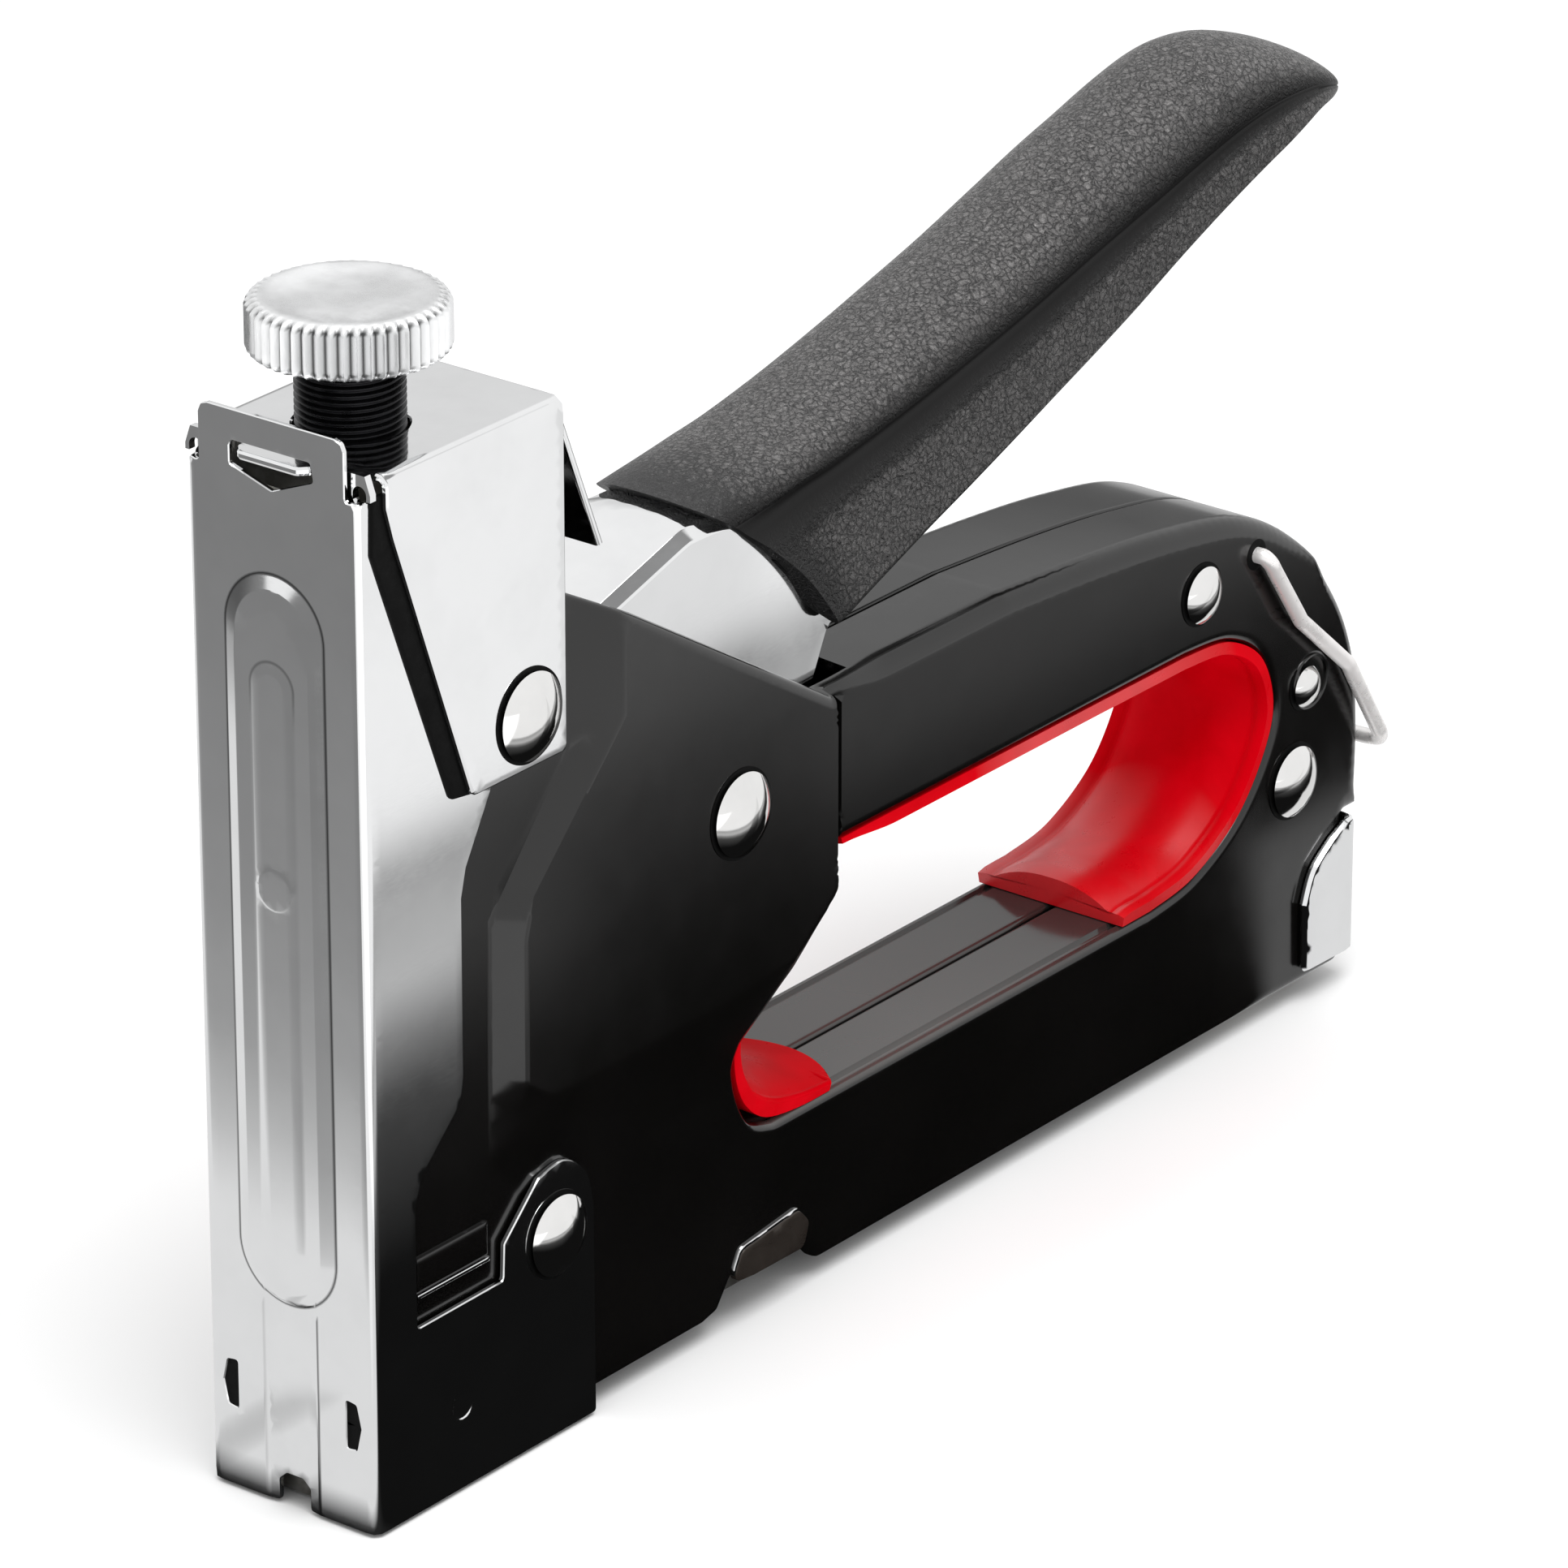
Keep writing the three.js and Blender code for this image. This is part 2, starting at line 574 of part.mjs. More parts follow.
// Side view of the lever: a beak to the striker, a broad web over the pivot, a tail in the grip.
function leverOutline() {
  return [
    [ROLLER.x - 2.7, ROLLER.z - 1.4], [ROLLER.x - 0.6, ROLLER.z - 2.8], [ROLLER.x + 7, ROLLER.z - 2.8],
    [34, 54], [56, 55], [66, 57.5], [79.2, 70], [82, 75.7], [88, 81], [126, 96.5],
    [LEVER_TAIL, 107.5], [LEVER_TAIL, 116], [120, 110.5], [75, 99.5], [58, 96.9], [42, 91.5],
    [36, 80], [27, 66], [ROLLER.x + 7, ROLLER.z + 2.8],
    [ROLLER.x - 0.6, ROLLER.z + 2.8], [ROLLER.x - 2.7, ROLLER.z + 1.4],
  ];
}

// The beak is narrow, to enter the striker. The web and the tail are a folded channel.
function leverChannel() {
  const channelFront = 30;
  const outline = leverOutline();
  const blank = sidePlateWithRim(outline, LEVER_HALF, 2.6, 2, 1);
  const innerHalf = LEVER_HALF - LEVER_SHEET;
  const inside = sidePlate(offsetOutline(outline, -LEVER_SHEET), -innerHalf, innerHalf);
  const below = sidePlate([
    [channelFront, 40], [170, 40], [170, 108], [120, 104], [60, 90], [40, 84], [channelFront, 70],
  ], -innerHalf, innerHalf);
  const channel = cutBy(blank, [inside, below])
    .intersect(block(channelFront, 200, -LEVER_HALF, LEVER_HALF, 0, 200));
  const beakOutline = sidePlate(outline, -LEVER_HALF, LEVER_HALF)
    .intersect(block(0, channelFront + 8, -20, 20, 0, 200));
  const beakSlot = sidePlate(offsetOutline(outline, 3), -4.6, 4.6)
    .intersect(block(0, channelFront + 12, -20, 20, 0, 76));
  const beak = cutBy(beakOutline, [beakSlot, ...blockPair(0, channelFront, 6.2, 20, 0, 200)]);
  const pivotHole = crossBar(PIVOT.x, PIVOT.z, 4 + GAP, -LEVER_HALF - 1, LEVER_HALF + 1, 24);
  const pinHole = crossBar(ROLLER.x, ROLLER.z, 1.5 + GAP, -LEVER_HALF, LEVER_HALF, 16);
  return cutBy(joined([channel, beak]), [pivotHole, pinHole]);
}
addPiece('lever_channel', leverChannel(), CHROME);

function liftRoller() {
  const tyre = crossBar(ROLLER.x, ROLLER.z, ROLLER_RADIUS, -4.2, 4.2, 24);
  return tyre.subtract(crossBar(ROLLER.x, ROLLER.z, 1.5 + GAP, -6, 6, 16));
}
addPiece('lift_roller', liftRoller(), ZINC_STEEL);
addPiece('roller_pin', crossBar(ROLLER.x, ROLLER.z, 1.5, -6.2, 6.2, 16), BLUED_STEEL);

// The moulded grip: a rounded back over two side walls that run out towards its end.
function gripOutline() {
  const back = smooth([
    [186, 110], [184.5, 114], [180, 117], [170, 120.2], [157, 122.2],
    [141.8, 120.6], [112, 110.6], [83, 102.2], [61, 97.4],
  ], 20);
  const under = smooth([
    [81.7, 77.2], [97.7, 83.2], [124.4, 93.1], [150.5, 101.7], [170, 109], [183, 107.4],
  ], 12);
  return [...under, ...back, [68, 90], [76, 84]];
}

// A long bar with an arched back, laid along the slope of the handle.
function archedBar() {
  const arch = [];
  const steps = 12;
  for (let index = 0; index <= steps; index += 1) {
    const angle = (index / steps) * Math.PI;
    arch.push([GRIP_HALF * Math.cos(angle), 11 * Math.sin(angle)]);
  }
  const section = [[-GRIP_HALF, -40], [GRIP_HALF, -40], ...arch];
  const geometry = new THREE.ExtrudeGeometry(shapeOf(section), { depth: 160, bevelEnabled: false });
  geometry.applyMatrix4(FACING_FORWARD).rotateY(-GRIP_SLOPE);
  return toSolid(geometry.translate(60, 0, 86.6));
}

// The grip is hollow as far as the lever's tail reaches, and open below.
function handleGrip() {
  const outline = gripOutline();
  const moulding = sidePlate(outline, -GRIP_HALF, GRIP_HALF).intersect(archedBar());
  const tailSpace = sidePlate([
    [50, 40], [LEVER_TAIL + 2, 40], [LEVER_TAIL + 2, 116.6], [120, 111.1],
    [75, 100.1], [57.8, 97.5], [50, 95],
  ], -LEVER_HALF - GAP, LEVER_HALF + GAP);
  return moulding.subtract(tailSpace);
}
addPiece('handle_grip', handleGrip(), BLACK_RUBBER);

// Torsion spring that lifts the handle again. Its two legs bear on the lever and on the shells.
function returnSpring() {
  const turns = 6;
  const radius = 5.2;
  const steps = 10 * turns;
  const points = [new THREE.Vector3(PIVOT.x + 14, -4.4, PIVOT.z + radius + 6)];
  for (let index = 0; index <= steps; index += 1) {
    const angle = Math.PI / 2 - (2 * Math.PI * turns * index) / steps;
    const y = -4 + (8 * index) / steps;
    const x = PIVOT.x + radius * Math.cos(angle);
    points.push(new THREE.Vector3(x, y, PIVOT.z + radius * Math.sin(angle)));
  }
  points.push(new THREE.Vector3(PIVOT.x - 12, 4.4, PIVOT.z + radius + 3));
  return wire(new THREE.CatmullRomCurve3(points, false, 'centripetal'), 0.6, steps + 12, 6);
}
addPiece('return_spring', returnSpring(), BLUED_STEEL);

// Sleeve that the lever turns on.
function pivotBush() {
  return crossBar(PIVOT.x, PIVOT.z, 4, -BODY_HALF + 1.6, BODY_HALF - 1.6, 24)
    .subtract(crossBar(PIVOT.x, PIVOT.z, SHANK_RADIUS + GAP, -20, 20, 20));
}
addPiece('pivot_bush', pivotBush(), ZINC_STEEL);

// ---------------------------------------------------------------- red liners in the hand hole

function gripLiner() {
  const hole = offsetOutline(handHoleOutline(), -GAP);
  const palmSide = [
    ...smooth([[135, 25.2], [143, 25.5], [151.5, 28.3], [157.6, 33.6], [160.2, 39.8],
      [158.4, 44.8], [152, 48], [140, 49.2]], 18),
    [100, 49.8], [83, 50.9], [40, 60], [40, 10], [135, 10],
  ];
  return sidePlate(hole, -BODY_HALF, BODY_HALF).subtract(sidePlate(palmSide, -20, 20));
}

function frontLiner() {
  const hole = offsetOutline(handHoleOutline(), -GAP);
  const wedge = [
    [50, 10], [80, 10], [80, 22.9], [74.5, 24.2], [69.8, 26.8],
    [66.6, 30], [65.4, 33], [66.2, 35.2], [60, 40], [50, 40],
  ];
  return sidePlate(hole, -BODY_HALF, BODY_HALF).intersect(sidePlate(wedge, -20, 20));
}

addPiece('grip_liner', gripLiner(), RED_PLASTIC);
addPiece('front_liner', frontLiner(), RED_PLASTIC);

// ---------------------------------------------------------------- magazine

// Fixed channel over the staples, open below.
function magazineChannel() {
  const outside = block(13, 168, -CHANNEL_HALF, CHANNEL_HALF, 2.6, CHANNEL_TOP);
  const innerHalf = CHANNEL_HALF - CHANNEL_SHEET;
  const inside = block(0, 200, -innerHalf, innerHalf, 0, CHANNEL_TOP - CHANNEL_SHEET);
  return outside.subtract(inside);
}
addPiece('magazine_channel', magazineChannel(), ZINC_STEEL);

// Inner rail that the staples straddle. It slides out at the rear.
function stapleRail() {
  const outside = block(13.2, 176, -RAIL_HALF, RAIL_HALF, RAIL_BOTTOM, RAIL_TOP);
  const inside = block(10, 174.5, -RAIL_HALF + 0.9, RAIL_HALF - 0.9, RAIL_BOTTOM + 0.9, RAIL_TOP + 1);
  return outside.subtract(inside);
}
addPiece('staple_rail', stapleRail(), ZINC_STEEL);

// A round bar along the tool, at the height of the pusher's guide rod.
function lengthBar(radius, xLow, xHigh) {
  const geometry = new THREE.CylinderGeometry(radius, radius, xHigh - xLow, 12).rotateZ(Math.PI / 2);
  return toSolid(geometry.translate((xLow + xHigh) / 2, 0, ROD_HEIGHT));
}
addPiece('guide_rod', lengthBar(1, 13.4, 174.2), ZINC_STEEL);

// Slider that straddles the rail and pushes the staples to the nose.
function pusher() {
  const outside = block(NOSE_BLOCK_FRONT + 9.4, 27, -PUSHER_HALF, PUSHER_HALF, RAIL_BOTTOM, 17.6);
  const inside = block(0, 60, -RAIL_HALF - GAP, RAIL_HALF + GAP, 0, RAIL_TOP + GAP);
  const neck = block(15, 24, -1, 1, 12.4, 16);
  const foot = block(15, 24, -RAIL_HALF + 1.4, RAIL_HALF - 1.4, 6, 13);
  const bore = lengthBar(1 + GAP, 10, 30);
  return joined([outside.subtract(inside), neck, foot]).subtract(bore);
}
addPiece('pusher', pusher(), ZINC_STEEL);

function pusherSpring() {
  const start = new THREE.Vector3(28, 0, ROD_HEIGHT);
  const end = new THREE.Vector3(173, 0, ROD_HEIGHT);
  const turns = 20;
  return wire(new Coil(start, end, 2, turns), 0.35, 8 * turns, 4);
}
addPiece('pusher_spring', pusherSpring(), BLUED_STEEL);

// Bent end plate of the rail: a back, two cheeks outside the shells and a finger edge.
function rearCatch() {
  const cheekFront = smooth([[175, 19.2], [171.2, 16.4], [169.4, 12.4], [169.7, 3.6]], 6);
  const outline = [[CATCH_REAR, 3.4], [CATCH_REAR, 20.5], [178.9, 20.7], ...cheekFront, [171, 3]];
  const blank = sidePlateWithRim(outline, CATCH_HALF, 0.7, 0.7, 2);
  const innerHalf = BODY_HALF + GAP;
  const inside = block(150, CATCH_REAR - 1.3, -innerHalf, innerHalf, -5, 40);
  return blank.subtract(inside);
}
addPiece('rear_catch', rearCatch(), CHROME);

// ---------------------------------------------------------------- rivets, spacers and lock bail

// A rivet with a low dome on each side, turned about Y.
function rivet({ x, z, head, dome, face }) {
  const underHead = face + GAP;
  const steps = 6;
  const domePoints = [];
  for (let index = 0; index <= steps; index += 1) {
    const angle = (index / steps) * (Math.PI / 2);
    domePoints.push([head * Math.sin(angle), underHead + dome * Math.cos(angle)]);
  }
  const oneEnd = [...domePoints, [SHANK_RADIUS, underHead]];
  const otherEnd = oneEnd.map(([radius, y]) => [radius, -y]);
  const profile = [...otherEnd, ...oneEnd.reverse()].map(([radius, y]) => new THREE.Vector2(radius, y));
  return toSolid(new THREE.LatheGeometry(profile, 28).translate(x, 0, z));
}

for (const [name, sizes] of Object.entries(RIVETS)) {
  addPiece(name, rivet(sizes), CHROME);
}

// Tubes that hold the two shells apart at the rear.
const SPACERS = [['upper_spacer', 'rear_upper_rivet'], ['lower_spacer', 'rear_lower_rivet']];
for (const [name, rivetName] of SPACERS) {
  const { x, z } = RIVETS[rivetName];
  const halfLength = BODY_HALF - SHELL_WALL - GAP;
  const tube = crossBar(x, z, 3.2, -halfLength, halfLength, 20);
  addPiece(name, tube.subtract(crossBar(x, z, SHANK_RADIUS + GAP, -20, 20, 20)), ZINC_STEEL);
}

function lockBail() {
  const side = [
    [BAIL_HOLE.x, BAIL_HOLE.z], [161.6, 57], [165.6, 51.2], [168, 48.6],
    [174.8, 42.6], [177.4, 39.8], [184.4, 28.6],
  ];
  const half = side.map(([x, z]) => new THREE.Vector3(x, -BAIL_HALF, z));
  const path = [
    new THREE.Vector3(BAIL_HOLE.x, -8, BAIL_HOLE.z),
    new THREE.Vector3(BAIL_HOLE.x, -BAIL_HALF + 1, BAIL_HOLE.z),
    ...half.slice(1),
  ];
  const last = half[half.length - 1];
  path.push(new THREE.Vector3(last.x + 0.6, -BAIL_HALF + 2, last.z - 0.6));
  const mirrored = path.map((point) => new THREE.Vector3(point.x, -point.y, point.z)).reverse();
  const curve = new THREE.CatmullRomCurve3([...path, ...mirrored], false, 'centripetal');
  return wire(curve, BAIL_WIRE_RADIUS, 72, 10);
}
addPiece('lock_bail', lockBail(), CHROME);

export default tool;
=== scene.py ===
"""Looks of the hand staple gun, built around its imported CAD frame.

Shapes are written in tool millimetres: x from the nose's front face to the rear, y to the
tool's left, z up. to_metres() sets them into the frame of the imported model.
"""

import json
import math

import bmesh
import bpy
import numpy as np
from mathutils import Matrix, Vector
from mathutils.geometry import delaunay_2d_cdt


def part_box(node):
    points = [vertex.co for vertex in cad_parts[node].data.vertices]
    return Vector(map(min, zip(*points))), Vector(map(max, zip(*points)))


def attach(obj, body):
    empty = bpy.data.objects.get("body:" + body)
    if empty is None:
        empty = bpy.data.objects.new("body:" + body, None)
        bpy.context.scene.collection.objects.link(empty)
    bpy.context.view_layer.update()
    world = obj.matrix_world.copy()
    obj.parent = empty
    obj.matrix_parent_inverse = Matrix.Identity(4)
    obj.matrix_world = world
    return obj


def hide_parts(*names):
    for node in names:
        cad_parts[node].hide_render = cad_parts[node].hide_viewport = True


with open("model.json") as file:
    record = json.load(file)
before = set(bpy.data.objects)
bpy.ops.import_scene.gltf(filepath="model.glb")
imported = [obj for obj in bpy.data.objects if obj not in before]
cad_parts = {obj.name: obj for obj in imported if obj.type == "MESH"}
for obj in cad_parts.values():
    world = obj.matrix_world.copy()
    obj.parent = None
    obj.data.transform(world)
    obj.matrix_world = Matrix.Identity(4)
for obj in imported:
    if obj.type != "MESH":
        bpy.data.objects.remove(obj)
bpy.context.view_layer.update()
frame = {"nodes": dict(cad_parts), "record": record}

NODES = frame["nodes"]
MM = 0.001
NOSE_SETBACK = 6.0

# body shells
WALL = 1.2
BODY_HALF = 10.5
HEAD_HALF = 12.9
BODY_REAR = 182.0
HOLE_BOTTOM = 21.8
HOLE_TOP = 51.8
HEAD_TOP = 101.5

# sheet parts
COVER_HALF = 11.5
COVER_SHEET = 0.7
CAP_HALF = 12.8
CAP_SHEET = 1.0
CAP_TOP = 119.6
CATCH_HALF = 11.7
CATCH_REAR = 180.2
LEVER_HALF = 8.0
LEVER_SHEET = 1.5

# drive-force adjuster
DRIVE_X = 12.6
SCREW_RADIUS = 5.8
THREAD_STEP = 0.75
KNOB_RADIUS = 10.7
KNOB_BOTTOM = 127.5
KNOB_TOP = 133.6
KNOB_TEETH = 48

GRIP_HALF = 10.6
BAIL_WIRE = 0.95
BAIL_HALF = 12.1

SIDES = ((-1, "right"), (1, "left"))


# ---------------------------------------------------------------- outlines

def to_metres(points):
    """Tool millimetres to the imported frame's metres."""
    moved = np.array(points, float).reshape(-1, 3)
    moved[:, 0] -= NOSE_SETBACK
    return moved * MM


def columns(*parts):
    """Points from their coordinates, each of them an array or one shared number."""
    return np.stack(np.broadcast_arrays(*parts), axis=1).astype(float)


def circle(radius, count, middle=(0.0, 0.0)):
    angle = np.arange(count) * 2 * math.pi / count
    return columns(middle[0] + radius * np.cos(angle), middle[1] + radius * np.sin(angle))


def headings(path):
    """Unit vectors along a path, one at each of its points."""
    step = np.gradient(path, axis=0)
    return step / np.linalg.norm(step, axis=1)[:, None]


def left_of(path):
    """Unit vectors to the left of a flat path, one at each of its points."""
    ahead = headings(path)
    return columns(-ahead[:, 1], ahead[:, 0])


def sideways(points, y):
    """Points given as (x, z), set at a width or widths y."""
    return columns(points[:, 0], y, points[:, 1])


def smooth(points, steps=8):
    """A curve through the points (uniform Catmull-Rom), both ends included."""
    p = np.array(points, float)
    padded = np.vstack([p[:1], p, p[-1:]])
    out = []
    for i in range(len(p) - 1):
        p0, p1, p2, p3 = padded[i:i + 4]
        v0, v1 = (p2 - p0) / 2, (p3 - p1) / 2
        for s in range(steps):
            t = s / steps
            cubic = (2 * p1 - 2 * p2 + v0 + v1) * t ** 3
            square = (-3 * p1 + 3 * p2 - 2 * v0 - v1) * t ** 2
            out.append(tuple(cubic + square + v0 * t + p1))
    out.append(tuple(p[-1]))
    return out


def rounded(outline, radius, steps=5, closed=True):
    """The outline with each real corner rounded."""
    p = np.array(outline, float)
    count = len(p)
    out = []
    for i in range(count):
        if not closed and i in (0, count - 1):
            out.append(p[i])
            continue
        here = p[i]
        back, ahead = p[i - 1] - here, p[(i + 1) % count] - here
        back_length, ahead_length = np.linalg.norm(back), np.linalg.norm(ahead)
        if min(back_length, ahead_length) < 1e-6:
            continue
        back, ahead = back / back_length, ahead / ahead_length
        turn = math.pi - math.acos(float(np.clip(back @ ahead, -1, 1)))
        if turn < 0.3:
            out.append(here)
            continue
        cut = min(radius * math.tan(turn / 2), 0.45 * back_length, 0.45 * ahead_length)
        for s in range(steps + 1):
            f = s / steps
            start, end = here + back * cut, here + ahead * cut
            out.append((1 - f) ** 2 * start + 2 * f * (1 - f) * here + f * f * end)
    return np.array(out)


def dense(loop, spacing, closed=True):
    """The polyline with no step longer than spacing and no repeated point."""
    p = np.array(loop, float)
    ends = np.roll(p, -1, axis=0) if closed else p[1:]
    out = []
    for a, b in zip(p, ends):
        length = np.linalg.norm(b - a)
        if length < 0.02:
            continue
        for k in range(max(1, math.ceil(length / spacing))):
            out.append(a + (b - a) * k / max(1, math.ceil(length / spacing)))
    if not closed:
        out.append(p[-1])
    return np.array(out)


def turned(loop, left=True):
    """The loop, running so that its area is on the left, or on the right."""
    x, y = loop[:, 0], loop[:, 1]
    area = np.sum(x * np.roll(y, -1) - np.roll(x, -1) * y)
    return loop if (area > 0) == left else loop[::-1].copy()


def inward(loop):
    """A unit vector to the left at each point of a closed loop, longer at corners."""
    back = loop - np.roll(loop, 1, axis=0)
    ahead = np.roll(loop, -1, axis=0) - loop
    back /= np.linalg.norm(back, axis=1)[:, None]
    ahead /= np.linalg.norm(ahead, axis=1)[:, None]
    total = np.stack([-(back + ahead)[:, 1], (back + ahead)[:, 0]], axis=1)
    total /= np.maximum(np.linalg.norm(total, axis=1), 1e-9)[:, None]
    spread = total[:, 0] * -ahead[:, 1] + total[:, 1] * ahead[:, 0]
    return total / np.clip(spread, 0.6, 1)[:, None]


def segments_of(loops):
    """Starts and ends of every edge of the closed loops."""
    starts = np.vstack(loops)
    ends = np.vstack([np.roll(loop, -1, axis=0) for loop in loops])
    return starts, ends


def distance(points, loops):
    """How far each point is from the nearest edge of the closed loops."""
    starts, ends = segments_of(loops)
    along = ends - starts
    square = np.maximum((along ** 2).sum(1), 1e-12)
    out = np.empty(len(points))
    for k in range(0, len(points), 2000):
        part = points[k:k + 2000, None, :] - starts[None]
        t = np.clip((part * along[None]).sum(2) / square[None], 0, 1)
        out[k:k + 2000] = np.sqrt(((part - t[..., None] * along[None]) ** 2).sum(2)).min(1)
    return out


def inside(points, loops):
    """Which points are inside an odd number of the closed loops."""
    starts, ends = segments_of(loops)
    out = np.empty(len(points), bool)
    for k in range(0, len(points), 2000):
        x, y = points[k:k + 2000, 0, None], points[k:k + 2000, 1, None]
        crosses = (starts[None, :, 1] > y) != (ends[None, :, 1] > y)
        rise = np.where(crosses, ends[None, :, 1] - starts[None, :, 1], 1.0)
        at = starts[None, :, 0] + (y - starts[None, :, 1]) / rise * (ends - starts)[None, :, 0]
        out[k:k + 2000] = (crosses & (x < at)).sum(1) % 2 == 1
    return out


def point_grid(low, high, spacing):
    """Staggered rows of points over a rectangle."""
    rows = []
    for number, row in enumerate(np.arange(low[1] + spacing / 2, high[1], spacing * 0.87)):
        xs = np.arange(low[0] + (number % 2) * spacing / 2, high[0], spacing)
        rows.append(columns(xs, row))
    return np.vstack([np.zeros((0, 2)), *rows])


def fill(loops, spacing, rings=(), extra=None):
    """Triangles over the area between the loops.

    rings are distances from the edges that get their own rows of points. extra are more
    points to place. Returns the points, the triangles and each loop's point numbers.
    """
    fixed = np.vstack(loops)
    near = [np.zeros((0, 2))]
    for ring in rings:
        for loop in loops:
            moved = loop + inward(loop) * ring
            moved = moved[inside(moved, loops)]
            if len(moved):
                near.append(moved[distance(moved, loops) > ring * 0.93])
    if extra is not None:
        kept = extra[inside(extra, loops)]
        edge_gap = max(rings) + 0.3 if rings else 0.25
        near.append(kept[distance(kept, loops) > edge_gap * 0.6])
    near = np.vstack(near)
    grid = point_grid(fixed.min(0), fixed.max(0), spacing)
    grid = grid[inside(grid, loops)]
    grid = grid[distance(grid, loops) > max(rings, default=0) + 0.45 * spacing]
    if len(near) and len(grid):
        gap = [np.linalg.norm(near - point, axis=1).min() for point in grid]
        grid = grid[np.array(gap) > 0.5 * spacing]
    points = np.vstack([fixed, near, grid])
    edges, spans = [], []
    first = 0
    for loop in loops:
        count = len(loop)
        edges += [(first + i, first + (i + 1) % count) for i in range(count)]
        spans.append(range(first, first + count))
        first += count
    made = delaunay_2d_cdt([Vector(p) for p in points], edges, [], 0, 1e-6)
    verts = np.array([tuple(v) for v in made[0]], float)
    number_of = np.zeros(len(points), int)
    for new, olds in enumerate(made[3]):
        number_of[list(olds)] = new
    triangles = np.array(made[2], int)
    triangles = triangles[inside(verts[triangles].mean(1), loops)]
    a, b, c = (verts[triangles[:, k]] for k in range(3))
    area = (b - a)[:, 0] * (c - a)[:, 1] - (b - a)[:, 1] * (c - a)[:, 0]
    solid = np.abs(area) > 1e-9
    triangles = np.where(area[:, None] < 0, triangles[:, ::-1], triangles)[solid]
    return verts, triangles, [number_of[list(span)] for span in spans]


# ---------------------------------------------------------------- meshes

class Skin:
    """Points and faces of one mesh, in tool millimetres."""

    def __init__(self):
        self.points = []
        self.faces = []
        self.count = 0

    def add(self, points):
        points = np.asarray(points, float).reshape(-1, 3)
        self.points.append(points)
        numbers = np.arange(self.count, self.count + len(points))
        self.count += len(points)
        return numbers

    def triangles(self, numbers, triangles):
        self.faces += [tuple(int(n) for n in numbers[t]) for t in triangles]

    def strip(self, one, other, closed=True):
        last = len(one) if closed else len(one) - 1
        for i in range(last):
            j = (i + 1) % len(one)
            self.faces.append((int(one[i]), int(one[j]), int(other[j]), int(other[i])))

    def strips(self, rings, closed=True):
        """A surface through rows of point numbers."""
        for one, other in zip(rings, rings[1:]):
            self.strip(one, other, closed)

    def fan(self, ring, centre):
        middle = int(self.add([centre])[0])
        for i in range(len(ring)):
            self.faces.append((int(ring[i]), int(ring[(i + 1) % len(ring)]), middle))

    def grid(self, rows, closed_rows=False):
        """A surface through rows of points; returns the point numbers, row by row."""
        numbers = [self.add(row) for row in rows]
        self.strips(numbers, closed_rows)
        return numbers

    def loft(self, rows, centre=lambda row: np.mean(row, axis=0)):
        """A closed body through rings of points, with a fan over each end."""
        rings = [self.add(row) for row in rows]
        self.strips(rings)
        for end in (0, -1):
            self.fan(rings[end], centre(rows[end]))


def slot_of(material):
    name = material.name.split(".")[0]
    return SLOT_OF.get(name, name)


def make(skin, name, material, body, stands_for=(), sharp=38.0):
    """A shaded object from the skin, riding on its body."""
    mesh = bpy.data.meshes.new(name)
    mesh.from_pydata(to_metres(np.vstack(skin.points)).tolist(), [], skin.faces)
    work = bmesh.new()
    work.from_mesh(mesh)
    bmesh.ops.remove_doubles(work, verts=work.verts, dist=2e-6)
    bmesh.ops.recalc_face_normals(work, faces=work.faces)
    work.to_mesh(mesh)
    work.free()
    mesh.materials.append(material)
    mesh.shade_smooth()
    mesh.set_sharp_from_angle(angle=math.radians(sharp))
    made = bpy.data.objects.new(name, mesh)
    bpy.context.scene.collection.objects.link(made)
    weight = made.modifiers.new("even_normals", "WEIGHTED_NORMAL")
    weight.keep_sharp = True
    slot = slot_of(material)
    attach(made, body)
    if stands_for:
        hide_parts(*stands_for)
    return made


def add_bevel(made, width):
    bevel = made.modifiers.new("edges", "BEVEL")
    bevel.width = width * MM
    bevel.segments = 3
    bevel.limit_method = "ANGLE"
    bevel.angle_limit = math.radians(35)


def set_values(made, skin, name, values):
    """Stores a value at each point of the finished mesh, found again by place."""
    where = {}
    every = to_metres(np.vstack(skin.points))
    for point, value in zip(every, values):
        where[tuple(np.round(point * 1e5).astype(int))] = float(value)
    layer = made.data.attributes.new(name, "FLOAT", "POINT")
    for vertex in made.data.vertices:
        key = tuple(np.round(np.array(vertex.co) * 1e5).astype(int))
        layer.data[vertex.index].value = where.get(key, 0.0)


